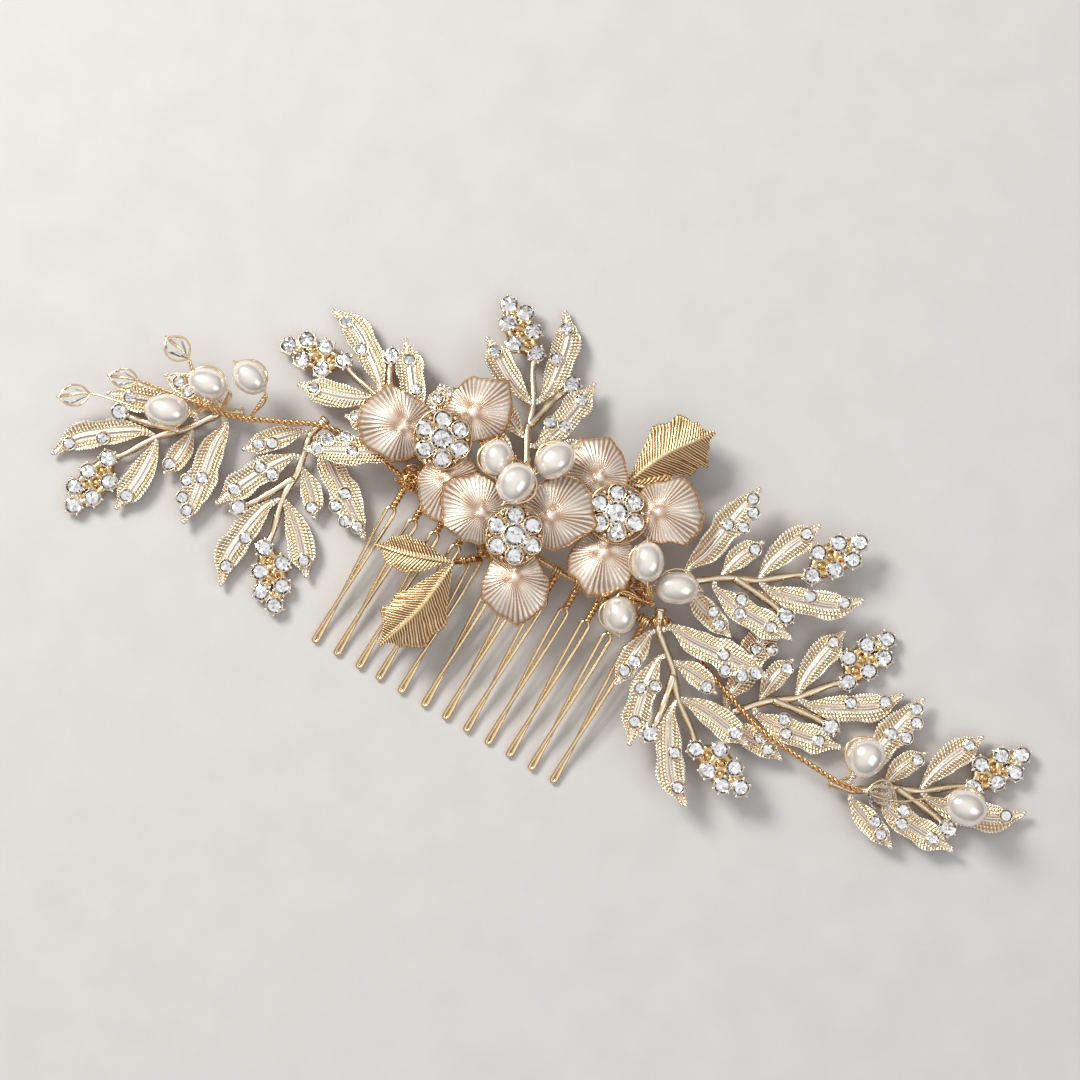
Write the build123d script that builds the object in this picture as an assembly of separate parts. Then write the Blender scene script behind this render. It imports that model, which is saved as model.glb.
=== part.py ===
from build123d import *
import os
from math import cos, radians, sin

# A bridal hair comb: a row of twisted-wire tines on a wire spine, eight cast leaf
# sprays, three enamelled flowers, two stamped leaf pairs, eleven pearls and four
# crystal beads, all bound on with wire.  It lies face up on a table.
# X runs along the spine, the tines point to -Y and +Z is up.  Lengths are in mm.

# ---- comb ----
TINE_COUNT = 12
TINE_PITCH = 4.56
COMB_MIDDLE_X = -3.0
SPINE_Z = 5.3
SPINE_RADIUS = 0.8
SPINE_OVERHANG = 1.5           # spine beyond the outer tines, each end
COLLAR_RADIUS = 1.35
COLLAR_WIDTH = 1.5
COLLAR_GAP = 0.02
TINE_WIRE_RADIUS = 0.4
TINE_HALF_WIDTH = 0.75         # wire centre to tine centre
TINE_TOP_Y = -5.6              # top of the closed loop
TINE_TIP_Y = -34.3
TINE_SLOPE = 8.2               # degrees down from the spine to the tip
NECK_RADIUS = 0.58

# ---- cast leaf spray, in its own frame: fork at the origin, berries towards +X ----
LEAF_THICKNESS = 0.8
STEM_WIDTH = 1.0
BALL_RADIUS = 1.1
LEAF_STONE_RADIUS = 1.1
BERRY_STONE_RADIUS = 1.4
SEAT_WALL = 0.3
SEAT_TOP = 1.1
POCKET_DEPTH = 0.5
POCKET_GAP = 0.02
STONE_CROWN = 0.6              # crown height as a share of the stone's radius
STONE_TABLE = 0.55             # table radius as a share of the stone's radius
GIRDLE_HEIGHT = 0.15

# leaf: base, point half way along the midrib, tip, greatest width
LEAVES = {
    "long_left": ((-11.5, 5.6), (-3.4, 10.4), (5.4, 16.2), 5.2),
    "short_left": ((-5.8, 3.0), (-1.3, 5.3), (2.7, 6.3), 3.3),
    "front_left": ((0.3, 0.3), (7.0, 4.2), (13.6, 6.4), 4.5),
    "front_right": ((0.3, -0.8), (8.0, -6.6), (17.3, -8.8), 4.9),
    "long_right": ((-8.0, 0.8), (-3.6, -5.4), (2.6, -11.8), 4.8),
    "back_right": ((-12.8, 2.2), (-10.6, -3.0), (-7.9, -8.3), 3.8),
}
# where each leaf's stalk leaves the main stem
LEAF_ROOTS = [(-12.0, 3.4), (-6.3, 2.2), (0.0, 0.0), (0.0, 0.0), (-7.6, 2.4), (-12.3, 3.2)]
MAIN_STEM = [(-15.3, 5.6), (-12.3, 3.4), (-10.5, 3.0), (-4.8, 1.9), (0.0, 0.0), (6.5, -0.9), (9.6, -2.0)]
BERRY_STEM = [(9.6, -2.0), (13.9, -2.1), (17.6, -1.3)]
BERRY_SIDE_STEMS = [[(10.6, -2.0), (11.9, 1.7)], [(14.6, -2.0), (16.0, 2.3)], [(17.6, -1.3), (19.7, 1.4)]]
LONE_BERRY_STEM = [(-4.0, 1.6), (-0.5, -2.6), (1.6, -5.4), (2.9, -7.7)]
LEAF_STONES = [
    (-2.4, 11.2), (0.1, 9.9), (3.3, 14.4), (2.6, 12.0), (1.0, 5.5), (10.8, 5.6),
    (8.2, -5.6), (13.8, -8.4), (-4.0, -2.5), (-5.0, -4.9), (-0.3, -8.9), (-9.6, -3.3), (-9.2, -5.8),
]
BERRY_STONES = [(9.6, -2.0), (13.9, -2.1), (17.6, -1.3), (11.9, 1.7), (16.0, 2.3), (19.7, 1.4), (2.9, -7.7)]

# spray: fork x, y, z, heading, nose-down pitch and left-side-up roll in degrees
SPRAYS = {
    "right_upper": (36.0, 16.9, 5.6, 46.9, 2.0, 1.0),
    "right_lower": (34.2, -9.0, 5.8, -28.6, 2.0, 0.0),
    "right_wing": (52.8, 2.3, 2.0, 58.9, 3.0, 0.0),
    "right_tip": (80.6, -1.0, 2.4, 45.5, 3.0, 0.0),
    "left_wing": (-46.6, -13.8, 2.0, -67.7, 3.0, 0.0),
    "left_tip": (-72.3, -15.8, 2.0, -113.9, 3.0, 0.0),
    "left_upper": (-40.5, 10.8, 4.9, 175.5, 10.0, 8.0),
    "top": (-15.5, 23.9, 5.6, 129.8, 10.0, 11.0),
}

# ---- enamelled flowers: centre x, y, z, three petal directions, tilt towards a direction ----
FLOWERS = {
    "left": (-26.0, 9.4, 10.5, (-170.0, 72.0, -50.5), 0.0, 0.0),
    "middle": (-5.7, 0.7, 13.7, (175.5, 59.5, -59.5), 0.0, 0.0),
    "right": (8.1, 13.8, 10.8, (146.5, 32.5, -78.5), 5.0, 165.0),
}
PETAL_START = 3.0
PETAL_END = 15.8
PETAL_WIDTH = 10.4
PETAL_DOME_RADIUS = 11.0
PETAL_THICKNESS = 0.45
PETAL_SINK = 0.15              # how far the domes start below the disc
FLOWER_DISC_RADIUS = 4.8
SETTING_RADIUS = 5.4
SETTING_HEIGHT = 1.1
SETTING_RIM_WIDTH = 0.5
CENTRE_STONE_RADIUS = 1.85
RING_STONE_RADIUS = 1.35
RING_STONE_COUNT = 6
RING_STONE_CIRCLE = 3.6

# ---- stamped gold leaves: base, middle, tip, width, height above the table ----
GOLD_LEAF_THICKNESS = 0.5
GOLD_STEM_WIDTH = 1.0
GOLD_PAIRS = {
    "lower": {
        "z": 7.6,
        "stem": [(-9.0, -5.2), (-13.2, -8.4)],
        "leaves": [((-13.2, -8.4), (-20.4, -11.2), (-27.1, -12.8), 6.2),
                   ((-13.2, -8.4), (-14.0, -18.6), (-17.1, -28.2), 10.0)],
    },
    "upper": {
        "z": 6.6,
        "stem": [(3.4, 15.6), (6.4, 19.9)],
        "leaves": [((6.4, 19.9), (10.2, 28.4), (15.7, 36.2), 9.0),
                   ((6.4, 19.9), (12.8, 21.8), (19.4, 21.9), 6.0)],
    },
}

# ---- beads: x, y, z, drill direction (away from the wire's root), length, thickness ----
BEAD_WIRE_RADIUS = 0.2
BEAD_BORE_RADIUS = 0.27
DROP_POINT_WALL = 0.12         # glass round the bore at the drop's point
DROP_BUTT_WALL = 0.3           # and at its thick end
WIRE_BEYOND_BEAD = 0.75
WIRE_BESIDE_BEAD = 0.75
BOW_GAP = 0.45                 # from the drill line to the bow's ends
BEAD_WIRE_BEND = 0.35
PEARLS = {
    "pearl_01": (-72.2, -11.1, 8.6, 205.0, 8.1, 6.0),
    "pearl_02": (-68.3, -3.2, 9.2, 190.0, 7.3, 5.6),
    "pearl_03": (-62.3, 1.7, 8.7, 165.0, 7.1, 5.7),
    "pearl_04": (-15.6, 11.2, 13.5, 120.0, 6.9, 6.2),
    "pearl_05": (-6.3, 16.1, 14.8, 65.0, 7.9, 6.4),
    "pearl_06": (-10.2, 8.7, 17.6, 270.0, 7.8, 6.7),
    "pearl_07": (17.2, 8.8, 13.8, 120.0, 7.4, 6.1),
    "pearl_08": (24.1, 7.7, 10.8, 25.0, 8.1, 6.0),
    "pearl_09": (17.6, -1.7, 9.9, -60.0, 6.8, 6.3),
    "pearl_10": (68.7, -1.3, 9.2, 80.0, 7.4, 7.0),
    "pearl_11": (88.7, 0.1, 8.8, 10.0, 7.8, 6.5),
}
CRYSTALS = {
    "crystal_drop_1": (-88.4, -17.2, 7.0, 215.0, 5.1, 3.1),
    "crystal_drop_2": (-82.1, -10.0, 7.6, 200.0, 4.9, 2.7),
    "crystal_drop_3": (-76.6, -0.3, 7.6, 165.0, 4.9, 3.6),
    "crystal_round": (74.6, -5.9, 8.2, 15.0, 5.0, 5.0),
}
BEADS = PEARLS | CRYSTALS
BOW_ON_RIGHT = ["pearl_02", "pearl_03", "pearl_09"]

# ---- link wires: twisted stems that carry the wings and the tips ----
LINK_RADIUS = 0.55
LINK_BEND = 6.0
LEFT_WING_PATH = [(-30.6, 0.7, 4.9), (-40.0, 1.8, 4.5), (-47.2, 1.0, 5.0), (-54.4, -2.4, 4.9)]
RIGHT_WING_PATH = [
    (25.8, 2.4, 3.4), (34.3, -0.9, 3.5), (45.5, -4.9, 4.3), (51.0, -6.4, 5.2), (56.2, -6.9, 5.1),
]
# the places where a hand bends the wires, in the gap between one wire and the next
HINGES = {
    "left_wing": (-29.9, 0.6, 4.9),
    "right_wing": (25.1, 2.6, 3.4),
    "left_tip": (-55.1, -2.7, 4.9),
    "right_tip": (56.95, -6.95, 5.1),
}

# ---- bead wires: the stem they grow from, then each wire's root and the beads it passes ----
STEM_BEND = 2.5
BEAD_WIRES = {
    "left_tip_wires": {
        "stem": [(-55.8, -3.0, 4.9), (-61.6, -5.6, 4.9), (-69.0, -7.0, 4.9)],
        "wires": [((-59.0, -4.4, 4.9), ["pearl_03"]), ((-64.4, -6.1, 4.9), ["pearl_02"]),
                  ((-66.6, -6.5, 4.9), ["pearl_01", "crystal_drop_1"]),
                  ((-67.8, -6.8, 4.9), ["crystal_drop_3"]), ((-68.8, -7.0, 4.9), ["crystal_drop_2"])],
    },
    "right_tip_wires": {
        "stem": [(57.7, -7.0, 5.1), (66.6, -7.4, 5.1), (70.6, -6.9, 5.6)],
        "wires": [((66.9, -7.4, 5.1), ["pearl_10"]), ((70.4, -6.9, 5.6), ["crystal_round", "pearl_11"])],
    },
    "pearl_wires_top": {
        "stem": [(-10.9, 12.6, 9.3), (-10.8, 12.7, 11.2)],
        "wires": [((-10.9, 12.6, 9.9), ["pearl_04"]), ((-10.85, 12.65, 10.5), ["pearl_05"]),
                  ((-10.8, 12.7, 11.1), ["pearl_06"])],
    },
    "pearl_wires_right": {
        "stem": [(21.6, 3.2, 6.6), (21.6, 3.3, 9.0)],
        "wires": [((21.6, 3.2, 7.2), ["pearl_09"]), ((21.6, 3.25, 8.0), ["pearl_08"]),
                  ((21.6, 3.3, 8.9), ["pearl_07"])],
    },
}

# ---- binding wire: rings round a stem, given as centre, direction of the stem, ring radius ----
BINDING_RADIUS = 0.25
BINDING_STEP = 0.7
BINDING_TURNS = 4
BINDING_GAP = 0.05
BINDINGS = [
    ((COMB_MIDDLE_X - 5 * TINE_PITCH, 0.0, SPINE_Z), (1, 0, 0), SPINE_RADIUS),
    ((COMB_MIDDLE_X + 5 * TINE_PITCH, 0.0, SPINE_Z), (1, 0, 0), SPINE_RADIUS),
    ((-11.1, -6.8, 7.6), (-4.2, -3.2, 0), GOLD_STEM_WIDTH * 0.6),
    ((4.9, 17.7, 6.6), (3.0, 4.3, 0), GOLD_STEM_WIDTH * 0.6),
]


def rod(start, end, radius):
    """A straight round rod between two points."""
    axis = Vector(*end) - Vector(*start)
    plane = Plane(origin=start, z_dir=axis)
    return plane * Cylinder(radius, axis.length, align=(Align.CENTER, Align.CENTER, Align.MIN))


def bent_wire(points, radius, bend):
    """A round wire along straight runs, with every corner bent to one radius."""
    path = FilletPolyline(*points, radius=bend)
    return sweep(Plane(origin=path @ 0, z_dir=path % 0) * Circle(radius), path)


def fuse(pieces):
    """One solid from overlapping pieces, joined one after another."""
    whole, *others = pieces
    for piece in others:
        whole = whole.fuse(piece)
    return whole


def leaf_face(base, middle, tip, width):
    """A pointed leaf outline about a bent midrib."""
    base, middle, tip = Vector(*base), Vector(*middle), Vector(*tip)
    across = (tip - base).normalized().rotate(Axis.Z, 90) * (width / 2)
    quarter = (base + middle) * 0.5
    beyond = (middle + tip) * 0.5
    left = Spline(base, quarter + across * 0.78, middle + across, beyond + across * 0.62, tip)
    right = Spline(tip, beyond - across * 0.62, middle - across, quarter - across * 0.78, base)
    return make_face([left, right])


def strip(points, width):
    """A flat stem outline along straight runs, with round corners."""
    pieces = [Pos(*point) * Circle(width / 2) for point in points]
    for start, end in zip(points, points[1:]):
        run = Vector(*end) - Vector(*start)
        middle = (Vector(*start) + Vector(*end)) * 0.5
        turn = Vector(1, 0, 0).get_signed_angle(run, Vector(0, 0, 1))
        pieces.append(Pos(middle.X, middle.Y) * Rot(0, 0, turn) * Rectangle(run.length, width))
    return pieces


def slab(outlines, low, high):
    """One flat plate from overlapping outlines, between two heights."""
    return Pos(0, 0, low) * extrude(Sketch() + outlines, high - low)


def stone(radius):
    """A round brilliant sitting on Z = 0: girdle band below, crown above."""
    girdle = Cylinder(radius, POCKET_DEPTH + GIRDLE_HEIGHT, align=(Align.CENTER, Align.CENTER, Align.MIN))
    crown_z = POCKET_DEPTH + GIRDLE_HEIGHT
    crown = Pos(0, 0, crown_z) * Cone(
        radius, radius * STONE_TABLE, radius * STONE_CROWN, align=(Align.CENTER, Align.CENTER, Align.MIN)
    )
    return girdle + crown


def discs(places, radius):
    return [Pos(x, y) * Circle(radius) for x, y in places]


def seats(wide_plan, pockets_plan, top):
    """Upright walls round every pocket, standing on the pocket floor's height."""
    rings = Sketch() + wide_plan
    return Pos(0, 0, top - POCKET_DEPTH) * extrude(rings - pockets_plan, POCKET_DEPTH)


def spray_casting():
    """The gold casting of one leaf spray, without its stones."""
    stems = [MAIN_STEM, BERRY_STEM, LONE_BERRY_STEM] + BERRY_SIDE_STEMS
    stems += [[root, leaf[0], leaf[1]] for root, leaf in zip(LEAF_ROOTS, LEAVES.values())]
    plan = [leaf_face(*leaf) for leaf in LEAVES.values()]
    for stem in stems:
        plan += strip(stem, STEM_WIDTH)
    small_seats = discs(LEAF_STONES, LEAF_STONE_RADIUS + SEAT_WALL)
    large_seats = discs(BERRY_STONES, BERRY_STONE_RADIUS + SEAT_WALL)
    small_pockets = discs(LEAF_STONES, LEAF_STONE_RADIUS + POCKET_GAP)
    large_pockets = discs(BERRY_STONES, BERRY_STONE_RADIUS + POCKET_GAP)
    half = LEAF_THICKNESS / 2
    plate = slab(plan + small_seats + large_seats, -half, half)
    floors = slab(small_seats + large_seats, half, SEAT_TOP - POCKET_DEPTH)
    walls = seats(small_seats + large_seats, small_pockets + large_pockets, SEAT_TOP)
    ball = Pos(*MAIN_STEM[0], 0) * Sphere(BALL_RADIUS)
    return plate + floors + walls + ball


def spray_stones():
    """The rhinestones of one leaf spray, each a separate solid."""
    floor = SEAT_TOP - POCKET_DEPTH
    small = [Pos(x, y, floor) * stone(LEAF_STONE_RADIUS) for x, y in LEAF_STONES]
    large = [Pos(x, y, floor) * stone(BERRY_STONE_RADIUS) for x, y in BERRY_STONES]
    return Compound(small + large)


def spray_place(name):
    x, y, z, heading, pitch, roll = SPRAYS[name]
    return Pos(x, y, z) * Rot(0, 0, heading) * Rot(0, pitch, 0) * Rot(roll, 0, 0)


def flower_place(name):
    x, y, z, _, tilt, towards = FLOWERS[name]
    return Pos(x, y, z) * Rot(0, 0, towards) * Rot(0, tilt, 0) * Rot(0, 0, -towards)


def petal(direction):
    """One domed petal, cut from a thin shell by its outline."""
    middle = (PETAL_START + PETAL_END) / 2
    half = PETAL_WIDTH / 2
    rim_drop = (PETAL_DOME_RADIUS**2 - half**2) ** 0.5
    dome = Pos(middle, 0, -rim_drop - PETAL_SINK)
    shell = dome * Sphere(PETAL_DOME_RADIUS) - dome * Sphere(PETAL_DOME_RADIUS - PETAL_THICKNESS)
    left = Spline((PETAL_START, 0.8), (middle - 2.6, half * 0.86), (middle + 1.6, half), (PETAL_END, 0))
    right = Spline((PETAL_END, 0), (middle + 1.6, -half), (middle - 2.6, -half * 0.86), (PETAL_START, -0.8))
    closing = Line((PETAL_START, -0.8), (PETAL_START, 0.8))
    outline = extrude(make_face([left, right, closing]), 2 * PETAL_DOME_RADIUS, both=True)
    above = Pos(middle, 0, 4) * Box(30, 30, 12)
    return Rot(0, 0, direction) * (shell & outline & above)


def flower_petals(name):
    """Three petals on a small disc, stamped from one sheet."""
    directions = FLOWERS[name][3]
    disc = Cylinder(FLOWER_DISC_RADIUS, PETAL_THICKNESS, align=(Align.CENTER, Align.CENTER, Align.MIN))
    return flower_place(name) * fuse([disc] + [petal(d) for d in directions])


def ring_places():
    step = 360 / RING_STONE_COUNT
    angles = [radians(step * k) for k in range(RING_STONE_COUNT)]
    return [(RING_STONE_CIRCLE * cos(a), RING_STONE_CIRCLE * sin(a)) for a in angles]


def setting_floor():
    """Height of the setting's underside above the flower's centre: clear of the petals' domes."""
    return PETAL_THICKNESS


def flower_setting(name):
    """The cast setting at a flower's centre: seven pockets and a rim round them."""
    base = setting_floor()
    top = base + SETTING_HEIGHT
    middle_plan = discs([(0, 0)], RING_STONE_CIRCLE)
    rim_plan = Circle(SETTING_RADIUS) - Circle(SETTING_RADIUS - SETTING_RIM_WIDTH)
    wide_plan = middle_plan + discs(ring_places(), RING_STONE_RADIUS + SEAT_WALL) + [rim_plan]
    pockets_plan = discs([(0, 0)], CENTRE_STONE_RADIUS + POCKET_GAP)
    pockets_plan += discs(ring_places(), RING_STONE_RADIUS + POCKET_GAP)
    body = slab(wide_plan, base, top - POCKET_DEPTH) + seats(wide_plan, pockets_plan, top)
    return flower_place(name) * body


def flower_stones():
    """The stones of all three flowers."""
    floor = setting_floor() + SETTING_HEIGHT - POCKET_DEPTH
    stones = []
    for name in FLOWERS:
        place = flower_place(name)
        stones.append(place * Pos(0, 0, floor) * stone(CENTRE_STONE_RADIUS))
        stones += [place * Pos(x, y, floor) * stone(RING_STONE_RADIUS) for x, y in ring_places()]
    return Compound(stones)


def gold_leaf_pair(name):
    """Two stamped leaves on one flat stem."""
    pair = GOLD_PAIRS[name]
    plan = [leaf_face(*leaf) for leaf in pair["leaves"]] + strip(pair["stem"], GOLD_STEM_WIDTH)
    plan += strip([pair["stem"][1], pair["leaves"][0][1]], GOLD_STEM_WIDTH)
    plan += strip([pair["stem"][1], pair["leaves"][1][1]], GOLD_STEM_WIDTH)
    return slab(plan, pair["z"] - GOLD_LEAF_THICKNESS / 2, pair["z"] + GOLD_LEAF_THICKNESS / 2)


def comb_spine():
    """The straight wire-wrapped bar that every tine hangs from."""
    half = TINE_PITCH * (TINE_COUNT - 1) / 2 + SPINE_OVERHANG
    return rod((COMB_MIDDLE_X - half, 0, SPINE_Z), (COMB_MIDDLE_X + half, 0, SPINE_Z), SPINE_RADIUS)


def tine_x(index):
    return COMB_MIDDLE_X + TINE_PITCH * (index - (TINE_COUNT - 1) / 2)


def comb_tine(index):
    """A hairpin loop of wire, its twisted neck and the collar that it makes round the spine."""
    wire = TINE_WIRE_RADIUS
    top = TINE_TOP_Y - TINE_HALF_WIDTH
    tip = TINE_TIP_Y + TINE_HALF_WIDTH + wire
    legs = [rod((side, top, 0), (side, tip, 0), wire) for side in (-TINE_HALF_WIDTH, TINE_HALF_WIDTH)]
    section = Plane.XZ * Pos(TINE_HALF_WIDTH, 0) * Circle(wire)
    upper_bend = Pos(0, top, 0) * revolve(section, Axis.Z, 180)
    lower_bend = Pos(0, tip, 0) * Rot(0, 0, 180) * revolve(section, Axis.Z, 180)
    neck = rod((0, TINE_TOP_Y - wire / 2, 0), (0, -SPINE_RADIUS - COLLAR_GAP - 0.1, 0), NECK_RADIUS)
    collar = rod((-COLLAR_WIDTH / 2, 0, 0), (COLLAR_WIDTH / 2, 0, 0), COLLAR_RADIUS)
    hole = rod((-COLLAR_WIDTH, 0, 0), (COLLAR_WIDTH, 0, 0), SPINE_RADIUS + COLLAR_GAP)
    tine = fuse([collar, neck, upper_bend, lower_bend] + legs) - hole
    return Pos(tine_x(index), 0, SPINE_Z) * Rot(TINE_SLOPE, 0, 0) * tine


def bead_ends(bead):
    """Where the wire enters and leaves a bead, a little beyond it."""
    x, y, z, angle, length, _ = bead
    reach = length / 2 + WIRE_BEYOND_BEAD
    along = Vector(cos(radians(angle)), sin(radians(angle)), 0) * reach
    centre = Vector(x, y, z)
    return [centre - along, centre + along]


def pearl(bead):
    """A drilled egg-shaped pearl."""
    _, _, _, angle, length, thickness = bead
    radius = thickness / 2
    band = Pos(0, (radius + BEAD_BORE_RADIUS) / 2) * Rectangle(length, radius - BEAD_BORE_RADIUS)
    half = Ellipse(length / 2, radius) & band
    return Pos(*bead[:3]) * Rot(0, 0, angle) * revolve(half, Axis.X, 360)


def crystal_drop(bead):
    """A drilled teardrop, thick end outwards."""
    _, _, _, angle, length, thickness = bead
    half = length / 2
    radius = thickness / 2
    bore = BEAD_BORE_RADIUS
    point = (-half, bore + DROP_POINT_WALL)
    butt = (half, bore + DROP_BUTT_WALL)
    curve = Spline(point, (-half * 0.3, radius * 0.7), (half * 0.35, radius), butt)
    back = Line(butt, (half, bore))
    floor = Line((half, bore), (-half, bore))
    front = Line((-half, bore), point)
    return Pos(*bead[:3]) * Rot(0, 0, angle) * revolve(make_face([curve, back, floor, front]), Axis.X, 360)


def bow(bead, side):
    """The bow of wire beside a bead, from one end of it to the other."""
    _, _, _, angle, _, thickness = bead
    near, far = bead_ends(bead)
    across = Vector(0, side, 0).rotate(Axis.Z, angle)
    beside = (near + far) * 0.5 + across * (thickness / 2 + WIRE_BESIDE_BEAD)
    path = ThreePointArc(near + across * BOW_GAP, beside, far + across * BOW_GAP)
    return sweep(Plane(origin=path @ 0, z_dir=path % 0) * Circle(BEAD_WIRE_RADIUS), path)


def bead_wires(name):
    """One stem with all its bead wires, and the bows beside the beads."""
    plan = BEAD_WIRES[name]
    route = plan["stem"]
    straight = len(route) == 2
    pieces = [rod(*route, LINK_RADIUS) if straight else bent_wire(route, LINK_RADIUS, STEM_BEND)]
    bows = []
    for root, names in plan["wires"]:
        points = [root]
        for bead_name in names:
            points += bead_ends(BEADS[bead_name])
            bows.append(bow(BEADS[bead_name], -1 if bead_name in BOW_ON_RIGHT else 1))
            if bead_name.startswith("crystal_drop"):
                bows.append(bow(BEADS[bead_name], -1))
        pieces.append(bent_wire(points, BEAD_WIRE_RADIUS, BEAD_WIRE_BEND))
    return Compound([fuse(pieces)] + bows)


def binding_wire():
    """Turns of fine wire that tie the stems down, each turn a closed ring."""
    rings = []
    for centre, direction, stem_radius in BINDINGS:
        along = Vector(*direction).normalized()
        for turn in range(BINDING_TURNS):
            offset = (turn - (BINDING_TURNS - 1) / 2) * BINDING_STEP
            plane = Plane(origin=Vector(*centre) + along * offset, z_dir=along)
            rings.append(plane * Torus(stem_radius + BINDING_GAP + BINDING_RADIUS, BINDING_RADIUS))
    return Compound(rings)


def build_nodes():
    """Every sub-part by its name, in the comb's own frame."""
    nodes = {"comb_spine": comb_spine()}
    for index in range(TINE_COUNT):
        nodes[f"comb_tine_{index + 1:02d}"] = comb_tine(index)
    casting = spray_casting()
    stones = spray_stones()
    for name in SPRAYS:
        nodes[f"leaf_spray_{name}"] = spray_place(name) * casting
        nodes[f"spray_stones_{name}"] = spray_place(name) * stones
    for name in FLOWERS:
        nodes[f"flower_petals_{name}"] = flower_petals(name)
        nodes[f"flower_setting_{name}"] = flower_setting(name)
    nodes["flower_stones"] = flower_stones()
    for name in GOLD_PAIRS:
        nodes[f"gold_leaf_pair_{name}"] = gold_leaf_pair(name)
    for name, bead in PEARLS.items():
        nodes[name] = pearl(bead)
    for name, bead in CRYSTALS.items():
        nodes[name] = pearl(bead) if name == "crystal_round" else crystal_drop(bead)
    nodes["left_wing_wire"] = bent_wire(LEFT_WING_PATH, LINK_RADIUS, LINK_BEND)
    nodes["right_wing_wire"] = bent_wire(RIGHT_WING_PATH, LINK_RADIUS, LINK_BEND)
    for name in BEAD_WIRES:
        nodes[name] = bead_wires(name)
    nodes["binding_wire"] = binding_wire()
    return nodes


def resting_shift(nodes):
    """The move that puts the middle of the whole comb's underside at the origin."""
    boxes = [shape.bounding_box() for shape in nodes.values()]
    low_x = min(box.min.X for box in boxes)
    high_x = max(box.max.X for box in boxes)
    low_y = min(box.min.Y for box in boxes)
    high_y = max(box.max.Y for box in boxes)
    low_z = min(box.min.Z for box in boxes)
    return Vector(-(low_x + high_x) / 2, -(low_y + high_y) / 2, -low_z)


NODES = build_nodes()
SHIFT = resting_shift(NODES)
os.makedirs("parts", exist_ok=True)
for node_name, shape in NODES.items():
    export_step(Pos(*SHIFT) * shape, f"parts/{node_name}.step")
print("nodes", len(NODES), "shift", tuple(round(value, 3) for value in SHIFT))
for hinge_name, place in HINGES.items():
    print("hinge", hinge_name, tuple(round(value, 3) for value in Vector(*place) + SHIFT))
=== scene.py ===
# %% [markdown]
# # A bridal hair comb in Blender
#
# The real object is a small piece of wirework jewellery: a row of hairpin tines on a wire
# spine, eight cast leaf sprays with rhinestones, three enamelled flowers, stamped gold
# leaves, pearls and clear beads, all tied on with craft wire.  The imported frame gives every
# place and every joint; this script gives the pieces their looks.

# %% Load the frame
import random as random_module
from math import cos, exp, pi, radians, sin, tau

import bpy
import numpy as np
from mathutils import Matrix, Vector, noise


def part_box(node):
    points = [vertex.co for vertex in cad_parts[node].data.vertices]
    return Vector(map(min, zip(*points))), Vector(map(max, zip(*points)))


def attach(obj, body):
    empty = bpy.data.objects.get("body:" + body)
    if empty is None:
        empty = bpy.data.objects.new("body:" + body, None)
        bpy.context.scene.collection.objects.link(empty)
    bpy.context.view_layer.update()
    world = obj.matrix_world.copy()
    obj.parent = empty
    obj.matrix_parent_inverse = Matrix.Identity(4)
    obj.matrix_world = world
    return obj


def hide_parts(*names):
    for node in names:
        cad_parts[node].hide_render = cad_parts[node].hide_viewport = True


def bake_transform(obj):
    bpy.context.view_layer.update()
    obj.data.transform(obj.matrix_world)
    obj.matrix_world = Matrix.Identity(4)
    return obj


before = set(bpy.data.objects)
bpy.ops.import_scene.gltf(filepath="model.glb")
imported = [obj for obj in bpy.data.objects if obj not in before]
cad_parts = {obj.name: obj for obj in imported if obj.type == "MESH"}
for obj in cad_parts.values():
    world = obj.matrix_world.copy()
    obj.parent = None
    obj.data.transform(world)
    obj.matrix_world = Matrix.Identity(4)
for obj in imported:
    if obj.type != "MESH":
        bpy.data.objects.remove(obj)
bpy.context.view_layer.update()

MM = 0.001

# %% [markdown]
# The frame's origin is the middle of the comb's underside.  The layout of this piece is
# easier to think about from the middle of the spine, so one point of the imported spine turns
# design millimetres into metres in the frame.

# %% From design millimetres to the frame
SPINE_MIDDLE = Vector((-3.0, 0.0, 5.3))
spine_low, spine_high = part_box("comb_spine")
OFFSET = (spine_low + spine_high) / 2 - SPINE_MIDDLE * MM


# %% [markdown]
# Meshes are made from plain lists of points and faces.  Two values ride on the points of the
# metal pieces: relief, which is 0 in a hollow and 1 on a crest, and enamel, which is 1 where
# the cream enamel lies.  Relief also carries painted light: it is high on crests and on the
# tops of round parts, and low in hollows, on undersides and between parts, so the materials
# paint a highlight on top and paint shade below and between.  The materials read both, so
# colour and metalness follow them.

# %% Mesh helpers
def link(name, mesh):
    obj = bpy.data.objects.new(name, mesh)
    bpy.context.scene.collection.objects.link(obj)
    return obj


def mesh_object(name, part):
    """A smooth mesh object from a shape: points in millimetres, faces, relief and enamel."""
    points, faces, relief, enamel = part
    mesh = bpy.data.meshes.new(name)
    mesh.from_pydata([tuple(p) for p in points], [], faces)
    for key, values in (("relief", relief), ("enamel", enamel)):
        layer = mesh.attributes.new(key, "FLOAT", "POINT")
        layer.data.foreach_set("value", values)
    mesh.polygons.foreach_set("use_smooth", [True] * len(mesh.polygons))
    mesh.update()
    return link(name, mesh)


def path_object(name, paths, closed=False):
    """Chains of edges, one for each path, for Geometry Nodes to follow."""
    points, edges = [], []
    for path in paths:
        first = len(points)
        points += [tuple(p) for p in path]
        edges += [(k, k + 1) for k in range(first, len(points) - 1)]
        if closed:
            edges.append((len(points) - 1, first))
    mesh = bpy.data.meshes.new(name)
    mesh.from_pydata(points, edges, [])
    return link(name, mesh)


def join(name, objects):
    """One object from several, with their materials and values kept."""
    with bpy.context.temp_override(active_object=objects[0], selected_editable_objects=objects):
        bpy.ops.object.join()
    objects[0].name = name
    objects[0].data.name = name
    return objects[0]


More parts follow.
